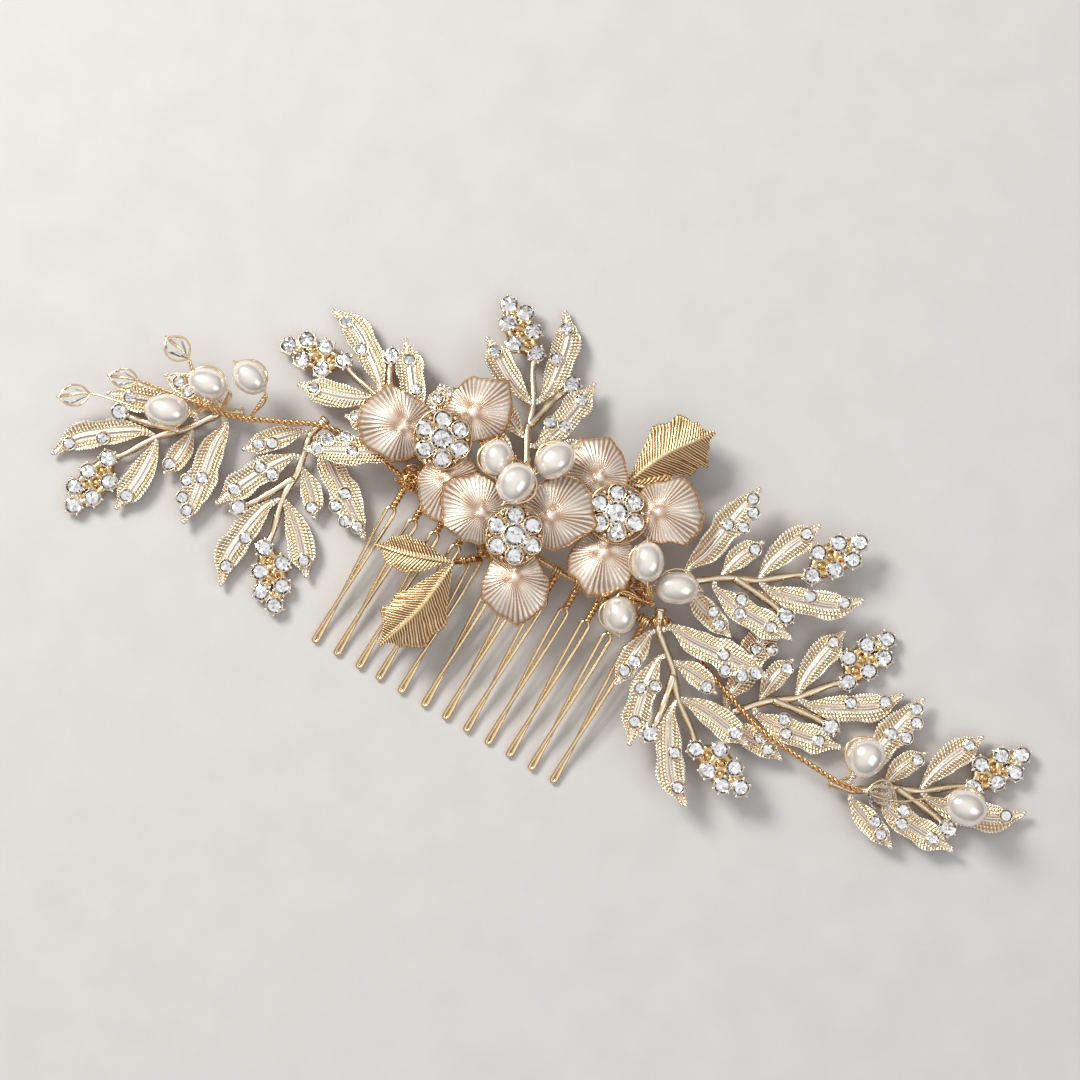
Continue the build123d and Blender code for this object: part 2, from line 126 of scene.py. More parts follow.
def plain(obj, name):
    """The object's modifiers turned into an ordinary mesh."""
    graph = bpy.context.evaluated_depsgraph_get()
    mesh = bpy.data.meshes.new_from_object(
        obj.evaluated_get(graph), preserve_all_data_layers=True, depsgraph=graph
    )
    bpy.data.objects.remove(obj)
    for key, value in (("relief", 0.8), ("enamel", 0.0)):
        if key not in mesh.attributes:
            layer = mesh.attributes.new(key, "FLOAT", "POINT")
            layer.data.foreach_set("value", [value] * len(mesh.vertices))
    return link(name, mesh)


def smooth_path(points, steps=8, closed=False):
    """A Catmull-Rom curve through the points."""
    points = [Vector(p) for p in points]
    count = len(points)
    spans = range(count if closed else count - 1)
    path = []
    for k in spans:
        if closed:
            a, b, c, d = (points[(k + j) % count] for j in (-1, 0, 1, 2))
        else:
            b, c = points[k], points[k + 1]
            a = points[k - 1] if k else b * 2 - c
            d = points[k + 2] if k + 2 < count else c * 2 - b
        for step in range(steps):
            t = step / steps
            path.append(0.5 * ((2 * b) + (c - a) * t + (2 * a - 5 * b + 4 * c - d) * t**2
                               + (3 * b - a - 3 * c + d) * t**3))
    if not closed:
        path.append(points[-1])
    return path


# %% [markdown]
# ## Materials
#
# One helper turns sRGB hex into linear colour and one adds a node with its settings, values
# and links.  Every finish here is metal, enamel, glass or pearl, so each material is a
# Principled shader whose colour and roughness are broken up by relief and a fine noise.

# %% Node helper and colours
def colour(hex_code):
    """Linear RGBA from an sRGB hex code."""
    channels = [int(hex_code[k:k + 2], 16) / 255 for k in (1, 3, 5)]
    return [c / 12.92 if c <= 0.04045 else ((c + 0.055) / 1.055) ** 2.4 for c in channels] + [1.0]


def add(tree, kind, settings=None, values=None, links=None):
    """Adds one node: settings are its properties, values and links go to its inputs."""
    node = tree.nodes.new(kind)
    for key, value in (settings or {}).items():
        setattr(node, key, value)
    for key, value in (values or {}).items():
        node.inputs[key].default_value = value
    for key, socket in (links or {}).items():
        tree.links.new(socket, node.inputs[key])
    return node


def shader(name, values):
    """An empty material with a Principled shader."""
    material = bpy.data.materials.new(name)
    material.use_nodes = True
    tree = material.node_tree
    tree.nodes.clear()
    principled = add(tree, "ShaderNodeBsdfPrincipled", values=values)
    add(tree, "ShaderNodeOutputMaterial", links={"Surface": principled.outputs["BSDF"]})
    return material, tree, principled


def relief_and_painted_light_colours(tree, stops):
    """A colour that follows the piece's relief, from hollow to crest: painted shade, painted highlight and
    painted reflection ride on it with the metal's own tone.
    """
    relief = add(tree, "ShaderNodeAttribute", {"attribute_name": "relief"})
    ramp = add(tree, "ShaderNodeValToRGB", links={"Fac": relief.outputs["Fac"]})
    ramp.color_ramp.elements[0].position = stops[0][0]
    ramp.color_ramp.elements[1].position = stops[-1][0]
    for place, _ in stops[1:-1]:
        ramp.color_ramp.elements.new(place)
    for element, (_, hex_code) in zip(ramp.color_ramp.elements, stops):
        element.color = colour(hex_code)
    return ramp.outputs["Color"]


# %% [markdown]
# ** Gold-plated craft wire** is drawn copper with a thin bright gold layer: nearly a mirror, a
# little orange where wires reflect each other.  The tie wire's base colour is more orange
# still, a painted reflection of the wires round it in the bundles.  **Pale gold casting** is a
# zinc casting with champagne plating and cream enamel in its panels; its colour carries a
# near-white painted highlight on the crests and the tops of stems, and painted shade in
# darker orange in the hollows, on the undersides and between the berries.

# %% Gold wire and pale gold casting
def gold_wire_material(name, dark, pale):
    material, tree, principled = shader(name, {"Metallic": 1.0})
    space = add(tree, "ShaderNodeTexCoord").outputs["Object"]
    grain = add(tree, "ShaderNodeTexNoise",
                values={"Scale": 1.0 / (0.9 * MM), "Detail": 4.0},
                links={"Vector": space}).outputs["Fac"]
    tint = add(tree, "ShaderNodeMix", {"data_type": "RGBA"},
               {6: colour(dark), 7: colour(pale)}, {0: grain})
    tree.links.new(tint.outputs[2], principled.inputs["Base Color"])
    rough = add(tree, "ShaderNodeMapRange", values={"To Min": 0.13, "To Max": 0.26},
                links={"Value": grain})
    tree.links.new(rough.outputs["Result"], principled.inputs["Roughness"])
    return material


def pale_casting_material():
    material, tree, principled = shader("pale_gold_casting", {"Metallic": 1.0})
    # painted shade and painted highlight: the hollow end of this ramp is darker orange shade, the crest end a
    # near-white highlight
    metal = relief_and_painted_light_colours(tree, [(0.0, "#B5803F"), (0.3, "#E6C793"), (0.6, "#F9EDD6"), (1.0, "#FFFCF4")])
    enamel = add(tree, "ShaderNodeAttribute", {"attribute_name": "enamel"}).outputs["Fac"]
    tint = add(tree, "ShaderNodeMix", {"data_type": "RGBA"},
               {7: colour("#F3DFD0")}, {0: enamel, 6: metal})
    tree.links.new(tint.outputs[2], principled.inputs["Base Color"])
    metallic = add(tree, "ShaderNodeMapRange", values={"To Min": 1.0, "To Max": 0.45},
                   links={"Value": enamel})
    tree.links.new(metallic.outputs["Result"], principled.inputs["Metallic"])
    space = add(tree, "ShaderNodeTexCoord").outputs["Object"]
    grain = add(tree, "ShaderNodeTexNoise",
                values={"Scale": 1.0 / (0.5 * MM), "Detail": 4.0},
                links={"Vector": space}).outputs["Fac"]
    rough = add(tree, "ShaderNodeMapRange", values={"To Min": 0.16, "To Max": 0.34},
                links={"Value": grain})
    tree.links.new(rough.outputs["Result"], principled.inputs["Roughness"])
    pitted = add(tree, "ShaderNodeBump", values={"Strength": 0.4, "Distance": 0.03 * MM},
                 links={"Height": grain})
    tree.links.new(pitted.outputs["Normal"], principled.inputs["Normal"])
    return material


GOLD_WIRE = gold_wire_material("gold_plated_wire", "#EFCB90", "#FDEBC8")
# painted reflection: the tie wire is more orange than the tine wire, for the orange that bundled wires reflect
# onto each other
TIE_WIRE_PAINTED_ORANGE = gold_wire_material("tie_wire_painted_orange", "#DDA262", "#FBDCA8")
PALE_CASTING = pale_casting_material()
print("materials", GOLD_WIRE.name, PALE_CASTING.name)

# %% [markdown]
# ** Champagne pearl enamel** is a satin lacquer over the ridged petals, pinkish cream, with a
# near-white painted highlight on the crests and the raised point and painted shade in warm
# brown in the grooves.  **Stamped antique gold** is darker and drier: brown antique tone in
# the hollows deepened by painted shade, and a pale painted highlight on the crests.
# **Foil-backed rhinestone** is modelled as bright mirror facets, because the foil behind the
# glass is what the eye sees; its dark facets are painted reflections.  **Pearl** is half
# metallic under a clear coat, which gives the soft inner glow of its layers.

# %% Enamel, stamped gold, stones and pearl
def champagne_enamel_material():
    material, tree, principled = shader(
        "champagne_pearl_enamel", {"Coat Weight": 0.4, "Coat Roughness": 0.12}
    )
    # painted shade in the grooves at the dark end, painted highlight on the crests at the pale end, over the
    # enamel's own pinkish cream
    stops = [(0.0, "#744D30"), (0.35, "#CBAB8F"), (0.7, "#F1E3D3"), (1.0, "#FFFBF3")]
    lacquer = relief_and_painted_light_colours(tree, stops)
    enamel = add(tree, "ShaderNodeAttribute", {"attribute_name": "enamel"}).outputs["Fac"]
    tint = add(tree, "ShaderNodeMix", {"data_type": "RGBA"},
               {6: colour("#DDA75C")}, {0: enamel, 7: lacquer})
    tree.links.new(tint.outputs[2], principled.inputs["Base Color"])
    metallic = add(tree, "ShaderNodeMapRange", values={"To Min": 1.0, "To Max": 0.5},
                   links={"Value": enamel})
    tree.links.new(metallic.outputs["Result"], principled.inputs["Metallic"])
    space = add(tree, "ShaderNodeTexCoord").outputs["Object"]
    grain = add(tree, "ShaderNodeTexNoise",
                values={"Scale": 1.0 / (0.6 * MM), "Detail": 4.0},
                links={"Vector": space}).outputs["Fac"]
    rough = add(tree, "ShaderNodeMapRange", values={"To Min": 0.2, "To Max": 0.33},
                links={"Value": grain})
    tree.links.new(rough.outputs["Result"], principled.inputs["Roughness"])
    pitted = add(tree, "ShaderNodeBump", values={"Strength": 0.35, "Distance": 0.02 * MM},
                 links={"Height": grain})
    tree.links.new(pitted.outputs["Normal"], principled.inputs["Normal"])
    return material


def stamped_gold_material():
    material, tree, principled = shader("stamped_antique_gold", {"Metallic": 1.0})
    # partly painted light: the hollow end is brown antique tone deepened by painted shade, the crest end a pale
    # painted highlight
    tint = relief_and_painted_light_colours(tree, [(0.0, "#5C3B1E"), (0.5, "#B68A52"), (1.0, "#F9E3BE")])
    tree.links.new(tint, principled.inputs["Base Color"])
    space = add(tree, "ShaderNodeTexCoord").outputs["Object"]
    grain = add(tree, "ShaderNodeTexNoise",
                values={"Scale": 1.0 / (0.4 * MM), "Detail": 4.0},
                links={"Vector": space}).outputs["Fac"]
    rough = add(tree, "ShaderNodeMapRange", values={"To Min": 0.22, "To Max": 0.42},
                links={"Value": grain})
    tree.links.new(rough.outputs["Result"], principled.inputs["Roughness"])
    pitted = add(tree, "ShaderNodeBump", values={"Strength": 0.5, "Distance": 0.03 * MM},
                 links={"Height": grain})
    tree.links.new(pitted.outputs["Normal"], principled.inputs["Normal"])
    return material


def rhinestone_material():
    material, tree, principled = shader(
        "foil_backed_rhinestone",
        {"Metallic": 1.0, "Roughness": 0.04, "Coat Weight": 0.6, "Coat Roughness": 0.02},
    )
    # painted reflection: the dark end of this ramp colours the stones' painted dark facets
    tint = relief_and_painted_light_colours(tree, [(0.0, "#1E1C22"), (0.22, "#A8A6AA"), (0.5, "#FFFFFF"), (1.0, "#FFFFFF")])
    tree.links.new(tint, principled.inputs["Base Color"])
    return material


def pearl_material():
    material, tree, principled = shader(
        "cream_pearl_lustre",
        {"Metallic": 0.5, "Coat Weight": 1.0, "Coat Roughness": 0.09, "IOR": 1.53, "Sheen Weight": 0.1},
    )
    space = add(tree, "ShaderNodeTexCoord").outputs["Object"]
    cloud = add(tree, "ShaderNodeTexNoise",
                values={"Scale": 1.0 / (3.0 * MM), "Detail": 2.0},
                links={"Vector": space}).outputs["Fac"]
    tint = add(tree, "ShaderNodeMix", {"data_type": "RGBA"},
               {6: colour("#EFE6DA"), 7: colour("#FFFBF5")}, {0: cloud})
    tree.links.new(tint.outputs[2], principled.inputs["Base Color"])
    rough = add(tree, "ShaderNodeMapRange", values={"To Min": 0.14, "To Max": 0.3},
                links={"Value": cloud})
    tree.links.new(rough.outputs["Result"], principled.inputs["Roughness"])
    pitted = add(tree, "ShaderNodeBump", values={"Strength": 0.4, "Distance": 0.3 * MM},
                 links={"Height": cloud})
    tree.links.new(pitted.outputs["Normal"], principled.inputs["Normal"])
    return material


def clear_glass_material():
    material, tree, principled = shader(
        "clear_cut_glass", {"Transmission Weight": 1.0, "Roughness": 0.03, "IOR": 1.3}
    )
    space = add(tree, "ShaderNodeTexCoord").outputs["Object"]
    cloud = add(tree, "ShaderNodeTexNoise",
                values={"Scale": 1.0 / (2.0 * MM), "Detail": 4.0},
                links={"Vector": space}).outputs["Fac"]
    tint = add(tree, "ShaderNodeMix", {"data_type": "RGBA"},
               {6: colour("#FBFAF8"), 7: colour("#FFFFFF")}, {0: cloud})
    tree.links.new(tint.outputs[2], principled.inputs["Base Color"])
    return material


CHAMPAGNE_ENAMEL = champagne_enamel_material()
STAMPED_GOLD = stamped_gold_material()
RHINESTONE = rhinestone_material()
PEARL = pearl_material()
CLEAR_GLASS = clear_glass_material()
print("materials in all", len(bpy.data.materials))

# %% [markdown]
# ## Wire
#
# Every wire here is one Geometry Nodes tree: a path becomes a round tube, or two strands
# that twist round each other.  The path is a chain of edges, so a listed route stays
# easy to read.

# %% The wire tree
PROFILE_POINTS = 8


def wire_tree(name, strands):
    """Round wire along a path: one strand, or two that twist round each other."""
    tree = bpy.data.node_groups.new(name, "GeometryNodeTree")
    face = tree.interface
    face.new_socket("Geometry", in_out="INPUT", socket_type="NodeSocketGeometry")
    sockets = {}
    for label, kind in (("Wire Radius", "Float"), ("Spacing", "Float"), ("Twist Length", "Float"),
                        ("Strand Offset", "Float"), ("Finish", "Material")):
        socket = face.new_socket(label, in_out="INPUT", socket_type="NodeSocket" + kind)
        sockets[label] = socket.identifier
    face.new_socket("Geometry", in_out="OUTPUT", socket_type="NodeSocketGeometry")
    start = add(tree, "NodeGroupInput").outputs
    curve = add(tree, "GeometryNodeMeshToCurve", links={"Mesh": start["Geometry"]})
    even = add(tree, "GeometryNodeResampleCurve", {"mode": "LENGTH"},
               links={"Curve": curve.outputs["Curve"], "Length": start["Spacing"]})
    along = add(tree, "GeometryNodeSplineParameter").outputs["Length"]
    turns = add(tree, "ShaderNodeMath", {"operation": "DIVIDE"}, links={0: along, 1: start["Twist Length"]})
    normal = add(tree, "GeometryNodeInputNormal").outputs["Normal"]
    tangent = add(tree, "GeometryNodeInputTangent").outputs["Tangent"]
    profile = add(tree, "GeometryNodeCurvePrimitiveCircle", values={"Resolution": PROFILE_POINTS},
                  links={"Radius": start["Wire Radius"]})
    joined = add(tree, "GeometryNodeJoinGeometry")
    for strand in range(strands):
        angle = add(tree, "ShaderNodeMath", {"operation": "MULTIPLY_ADD"},
                    {1: tau, 2: tau * strand / strands}, {0: turns.outputs["Value"]})
        outward = add(tree, "ShaderNodeVectorRotate", {"rotation_type": "AXIS_ANGLE"},
                      links={"Vector": normal, "Axis": tangent, "Angle": angle.outputs["Value"]})
        offset = add(tree, "ShaderNodeVectorMath", {"operation": "SCALE"},
                     links={0: outward.outputs["Vector"], "Scale": start["Strand Offset"]})
        moved = add(tree, "GeometryNodeSetPosition",
                    links={"Geometry": even.outputs["Curve"], "Offset": offset.outputs["Vector"]})
        tube = add(tree, "GeometryNodeCurveToMesh", values={"Fill Caps": True},
                   links={"Curve": moved.outputs["Geometry"], "Profile Curve": profile.outputs["Curve"]})
        tree.links.new(tube.outputs["Mesh"], joined.inputs["Geometry"])
    finish = add(tree, "GeometryNodeSetMaterial",
                 links={"Geometry": joined.outputs["Geometry"], "Material": start["Finish"]})
    add(tree, "NodeGroupOutput", links={"Geometry": finish.outputs["Geometry"]})
    return tree, sockets


WIRE_TREES = {1: wire_tree("single_wire", 1), 2: wire_tree("twisted_pair", 2)}


def wire(name, paths, radius, strands=1, twist=2.4, closed=False, spacing=0.35, finish=None):
    """Wire of that radius along the paths, in millimetres."""
    obj = path_object(name, paths, closed)
    tree, sockets = WIRE_TREES[strands]
    modifier = obj.modifiers.new("wire", "NODES")
    modifier.node_group = tree
    chosen = {"Wire Radius": radius, "Spacing": spacing, "Twist Length": twist,
              "Strand Offset": radius * 0.95 if strands > 1 else 0.0, "Finish": finish or GOLD_WIRE}
    for label, value in chosen.items():
        modifier[sockets[label]] = value
    obj = plain(obj, name)
    obj.data.polygons.foreach_set("use_smooth", [True] * len(obj.data.polygons))
    return obj


print("wire trees", [len(tree.nodes) for tree, _ in WIRE_TREES.values()])

# %% [markdown]
# ## Shapes as plain data
#
# A shape is its points, its faces and its relief and enamel values.  Shapes can be moved and
# added together before they become one mesh, so a casting of forty parts is one object.

# %% Shapes
def shape(points, faces, relief=None, enamel=None):
    count = len(points)
    return (list(points), list(faces), list(relief if relief is not None else [0.8] * count),
            list(enamel if enamel is not None else [0.0] * count))


def together(shapes):
    """Several shapes as one."""
    points, faces, relief, enamel = [], [], [], []
    for part in shapes:
        first = len(points)
        points += part[0]
        faces += [tuple(first + k for k in face) for face in part[1]]
        relief += part[2]
        enamel += part[3]
    return points, faces, relief, enamel


def moved(part, matrix):
    return ([matrix @ Vector(p) for p in part[0]], part[1], part[2], part[3])


def tube(path, radii, sides=10):
    """A closed round body along a path; radii says how thick it is at each point."""
    path = [Vector(p) for p in path]
    points, faces, values = [], [], []
    across = Vector((0, 0, 1))
    for k, centre in enumerate(path):
        along = (path[min(k + 1, len(path) - 1)] - path[max(k - 1, 0)]).normalized()
        side = along.cross(across)
        if side.length < 0.05:
            side = along.cross(Vector((0, 1, 0)))
        side.normalize()
        up = side.cross(along)
        across = up
        for j in range(sides):
            direction = side * cos(tau * j / sides) + up * sin(tau * j / sides)
            points.append(centre + direction * radii[k])
            # painted highlight: relief rises on the upward side of the tube, so its top reads lighter and its
            # sides and underside darker
            values.append(0.06 + 0.52 * max(0.0, direction.z) ** 2)
    for k in range(len(path) - 1):
        for j in range(sides):
            a, b = k * sides + j, k * sides + (j + 1) % sides
            faces.append((a, b, b + sides, a + sides))
    last = (len(path) - 1) * sides
    faces.append(tuple(reversed(range(sides))))
    faces.append(tuple(range(last, last + sides)))
    return shape(points, faces, values)


def lathe(profile, sides=20, relief=None):
    """A closed turning about Z from (radius, height) points, both ends on the axis."""
    points, faces = [], []
    inner = profile[1:-1]
    for radius, height in inner:
        for j in range(sides):
            points.append((radius * cos(tau * j / sides), radius * sin(tau * j / sides), height))
    for k in range(len(inner) - 1):
        for j in range(sides):
            a, b = k * sides + j, k * sides + (j + 1) % sides
            faces.append((a, b, b + sides, a + sides))
    low, high = len(points), len(points) + 1
    points += [(0, 0, profile[0][1]), (0, 0, profile[-1][1])]
    last = (len(inner) - 1) * sides
    for j in range(sides):
        faces.append((low, (j + 1) % sides, j))
        faces.append((high, last + j, last + (j + 1) % sides))
    values = None
    if relief:
        values = [value for value in relief[1:-1] for _ in range(sides)] + [relief[0], relief[-1]]
    return shape(points, faces, values)


def ball(centre, radius, sides=12):
    steps = 8
    profile = [(radius * sin(pi * k / steps), -radius * cos(pi * k / steps)) for k in range(steps + 1)]
    return moved(lathe(profile, sides), Matrix.Translation(centre))


def smoothstep(low, high, value):
    t = min(1.0, max(0.0, (value - low) / (high - low)))
    return t * t * (3 - 2 * t)


# %% [markdown]
# ## Rhinestones
#
# A stone is a low brilliant: a table, a ring of star facets, a ring of long main facets and
# the girdle.  Each corner is nudged a little, so no two facets flash together.  Some narrow
# facets and a few tables are painted dark and grey, painted reflections of dark surroundings
# as foil-backed stones show from above.

# %% Stone and seat
STONE_SIDES = 16
PAINTED_DARK_FACET_SHARE = 0.35


def brilliant(radius, crown, random):
    """A cut stone that stands on z = 0; the values in relief belong to its facets, and the low ones are painted
    dark reflections.
    """
    rings = [(0.42, 1.0), (0.7, 0.95), (0.94, 0.72), (1.0, 0.3), (1.0, 0.0)]
    points, faces, relief = [], [], []
    for ring, (spread, height) in enumerate(rings):
        wobble = 0.1 if ring < 3 else 0.0
        for j in range(STONE_SIDES):
            angle = tau * (j + (ring % 2) / 2) / STONE_SIDES
            lift = height * crown + (random.random() - 0.5) * wobble * radius
            points.append((spread * radius * cos(angle), spread * radius * sin(angle), lift))
    middle = len(points)
    points += [(0, 0, crown), (0, 0, 0)]
    for j in range(STONE_SIDES):
        nxt = (j + 1) % STONE_SIDES
        faces.append((middle, j, nxt))
        relief.append(1.0 if random.random() > 0.12 else 0.25)
        for ring in range(len(rings) - 1):
            a, b = ring * STONE_SIDES + j, ring * STONE_SIDES + nxt
            c, d = a + STONE_SIDES, b + STONE_SIDES
            # painted reflection: these facets get relief 0, which the stone material turns near black
            dark = random.random() < PAINTED_DARK_FACET_SHARE and ring == 1
            halves = ((a, c, b), (b, c, d)) if ring % 2 == 0 else ((a, c, d), (a, d, b))
            for half, face in enumerate(halves):
                faces.append(face)
                relief.append(0.0 if dark and half == 0 else 1.0 - 0.3 * (ring >= 2))
        last = (len(rings) - 1) * STONE_SIDES
        faces.append((middle + 1, last + nxt, last + j))
        relief.append(0.5)
    return points, faces, relief, [0.0] * len(relief)


def seat(radius, height, wall=0.16):
    """The thin collar that a stone sits in, rubbed over its edge."""
    outer = radius + wall
    profile = [(0, 0), (outer * 0.9, 0), (outer, height * 0.3), (outer, height * 0.8),
               (outer - 0.06, height), (radius * 1.01, height + 0.03), (radius * 0.99, height - 0.12),
               (0, height - 0.3)]
    # painted shade and painted highlight: relief is low at the collar's base and inside, high on the
    # rubbed-over lip
    return lathe(profile, 20, [0, 0.1, 0.2, 0.4, 0.75, 0.6, 0.1, 0.1])


# %% [markdown]
# ## Leaves
#
# A leaf is a grid that follows its midrib.  Across it lie the rounded midrib, a smooth
# enamelled panel, rows of little cast bars that sweep forward, and a raised edge with teeth.
# The same grid, shifted down without the detail, closes the underside.

# %% The leaf surface
def leaf(midrib, width, style, random):
    """A cast or stamped leaf along the midrib, a list of points in millimetres."""
    step = style["step"]
    centre = [Vector(p) for p in midrib]
    lengths = [0.0]
    for a, b in zip(centre, centre[1:]):
        lengths.append(lengths[-1] + (b - a).length)
    total = lengths[-1]
    rows = max(8, int(total / step))
    columns = style["columns"]
    phase = random.random() * tau
    grid, relief, enamel = [], [], []
    place = 0
    for row in range(rows + 1):
        s = total * row / rows
        while place < len(lengths) - 2 and lengths[place + 1] < s:
            place += 1
        t = (s - lengths[place]) / (lengths[place + 1] - lengths[place])
        middle = centre[place].lerp(centre[place + 1], t)
        along = (centre[place + 1] - centre[place]).normalized()
        side = Vector((-along.y, along.x, 0)).normalized()
        u = s / total
        swell = style["outline"](u)
        for column in range(-columns, columns + 1):
            v = column / columns
            swing = tau * style["lobes"] * u + phase + (0.9 if v > 0 else 0)
            lobes = 1 + style["lobe"] * sin(swing + 0.6 * sin(swing))
            edge = max(0.1, width / 2 * swell * lobes)
            out = abs(v) * edge
            tooth = 0.5 + 0.5 * cos(tau * s / style["pitch"])
            toothed = 1 + style["tooth"] * tooth * smoothstep(0.8, 1.0, abs(v))
            sweep = style["sweep"] * out * smoothstep(0.0, 0.25, 1 - u)
            point = middle + side * (v * edge * toothed) + along * sweep
            band = smoothstep(style["panel"] * edge, style["panel"] * edge + 0.25, out)
            stray_at = Vector((out * 0.8 * (1 if v > 0 else -1), s * 0.4, phase))
            strayed = s + style["waver"] * noise.noise(stray_at)
            bars = 1 - (0.5 - 0.5 * cos(tau * strayed / style["pitch"])) ** 2.2
            bead = 1 - style["bead"] * (0.5 - 0.5 * cos(tau * (out - 0.3) / style["row"])) ** 2
            rim = smoothstep(0.86, 0.97, abs(v)) * (0.6 + 0.4 * bars)
            rib = exp(-((out / style["midrib"]) ** 2)) * min(1.0, 3 * (1 - u) + 0.35)
            crest = max(band * bars * bead * (1 - rim), rim * 0.9)
            height = (style["relief"] * crest + style["midrib_height"] * rib
                      + style["arch"] * sin(pi * u) + style["curl"] * u**3 + style["cup"] * out * out)
            grid.append(point + Vector((0, 0, height)))
            # painted highlight and painted shade: relief is high on the bars, the rim and the midrib, and low
            # in the hollows between the bars
            relief.append(min(1.0, max(crest, rib, 0.75 * (1 - band)) * 0.95 + 0.02))
            enamel.append(style["enamel"] * (1 - band) * (1 - rib) * smoothstep(0.05, 0.2, u))
    across = 2 * columns + 1
    under = len(grid)
    points = list(grid)
    for k, point in enumerate(grid):
        column = k % across
        border = column in (0, across - 1) or k < across or k >= under - across
        wall = style["thickness"] * (0.5 if border else 1.0) + 0.5 * style["relief"] * relief[k]
        points.append(point - Vector((0, 0, wall)))
    faces = []
    for row in range(rows):
        for column in range(across - 1):
            a = row * across + column
            b = a + across
            faces.append((a, a + 1, b + 1, b))
            faces.append((a + under, b + under, b + 1 + under, a + 1 + under))
    loop = [row * across for row in range(rows, 0, -1)]
    loop += list(range(0, across - 1))
    loop += [row * across + across - 1 for row in range(0, rows)]
    loop += [rows * across + column for column in range(across - 1, 0, -1)]
    for a, b in zip(loop, loop[1:] + loop[:1]):
        faces.append((b, a, a + under, b + under))
    # seen from above the first column is on the right, so the faces are turned to point up
    faces = [tuple(reversed(face)) for face in faces]
    # painted shade: the underside gets a low relief, which the metal ramps turn dark
    return shape(points, faces, relief + [0.12] * under, enamel + [0.0] * under)


def cast_outline(u):
    """Half-width of a cast leaf from its stalk to its curled tip, as a share of the widest."""
    body = smoothstep(0.0, 0.42, u) * (1 - smoothstep(0.66, 1.02, u))
    return 0.17 + 0.87 * body


CAST_LEAF = {
    "step": 0.125, "columns": 14, "outline": cast_outline, "tooth": 0.1, "pitch": 0.62, "row": 0.62,
    "waver": 0.12, "sweep": 0.4, "panel": 0.24, "bead": 0.75, "midrib": 0.3, "midrib_height": 0.45,
    "relief": 0.34, "cup": 0.03, "enamel": 0.9, "thickness": 0.55,
}
print("leaf style", len(CAST_LEAF), "values")

# %% [markdown]
# ## The leaf spray
#
# All eight sprays come from one mould, so they are one shape set in eight places.  The
# numbers are the mould's plan: fork at the origin, berries towards +X.

# %% Plan of the mould
# midrib, width, depth of the lobes, lift of the tip
LEAVES = {
    "long_left": ([(-12.0, 3.4), (-11.5, 5.6), (-7.6, 7.6), (-3.4, 10.4), (1.4, 13.6), (5.0, 15.8)],
                  4.9, 0.13, 1.0),
    "short_left": ([(-6.3, 2.2), (-5.2, 3.3), (-1.3, 5.3), (2.7, 6.3)], 3.5, 0.06, 0.6),
    "front_left": ([(0, 0), (2.6, 2.0), (7.0, 4.2), (13.6, 6.4)], 4.4, 0.06, 0.5),
    "front_right": ([(0, 0), (2.2, -3.0), (8.0, -6.6), (12.6, -8.6), (17.3, -8.8)], 4.5, 0.09, 0.7),
    "long_right": ([(-7.6, 2.4), (-7.6, 0.2), (-3.6, -5.4), (2.6, -11.8)], 4.5, 0.11, 0.9),
    "back_right": ([(-12.3, 3.2), (-12.5, 1.4), (-10.6, -3.0), (-7.9, -8.3)], 3.8, 0.07, 0.5),
}
LEAF_STONES = [
    (-2.4, 11.2), (0.1, 9.9), (3.3, 14.4), (2.6, 12.0), (1.0, 5.5), (10.8, 5.6),
    (8.2, -5.6), (13.8, -8.4), (-4.0, -2.5), (-5.0, -4.9), (-0.3, -8.9), (-9.6, -3.3), (-9.2, -5.8),
]
BERRY_STONES = [(9.6, -2.0), (13.9, -2.1), (17.6, -1.3), (11.9, 1.7), (16.0, 2.3), (19.7, 1.4), (2.9, -7.7)]
BERRY_WEBS = [(0, 1), (1, 2), (0, 3), (3, 4), (4, 5), (2, 5), (1, 4), (1, 3)]
BERRY_FILLETS = [(11.8, -0.7), (13.9, 0.5), (15.9, -0.4), (17.8, 0.7)]
STEMS = [
    [(-15.3, 5.6), (-12.3, 3.4), (-10.5, 3.0), (-4.8, 1.9), (0, 0), (6.5, -0.9), (9.6, -2.0)],
    [(9.6, -2.0), (13.9, -2.1), (17.6, -1.3), (19.7, 1.4)],
    [(9.0, -1.8), (10.4, -0.4), (11.9, 1.7)],
    [(14.2, -2.0), (15.3, 0.2), (16.0, 2.3)],
    [(-4.0, 1.6), (-0.5, -2.6), (1.6, -5.4), (2.9, -7.7)],
]
# fork, heading, pitch and roll in degrees, body
SPRAYS = {
    "right_upper": ((36.0, 16.9, 5.6), 46.9, 2, 1, "comb"),
    "right_lower": ((34.2, -9.0, 5.8), -28.6, 2, 0, "comb"),
    "right_wing": ((52.8, 2.3, 2.0), 58.9, 3, 0, "right_wing"),
    "right_tip": ((80.6, -1.0, 2.4), 45.5, 3, 0, "right_tip"),
    "left_wing": ((-46.6, -13.8, 2.0), -67.7, 3, 0, "left_wing"),
    "left_tip": ((-72.3, -15.8, 2.0), -113.9, 3, 0, "left_tip"),
    "left_upper": ((-40.5, 10.8, 4.9), 175.5, 10, 8, "comb"),
    "top": ((-15.5, 23.9, 5.6), 129.8, 10, 11, "comb"),
}
SEAT_FLOOR = 0.6
LEAF_STONE, BERRY_STONE = 1.2, 1.56
LEAF_SEAT_HEIGHT, BERRY_SEAT_HEIGHT, BERRY_WALL = 1.15, 1.3, 0.13
LOBE_LENGTH = 7.5
PRONGS, PRONG_RADIUS = 6, 0.3
FRAME = Matrix.Translation(OFFSET) @ Matrix.Scale(MM, 4)


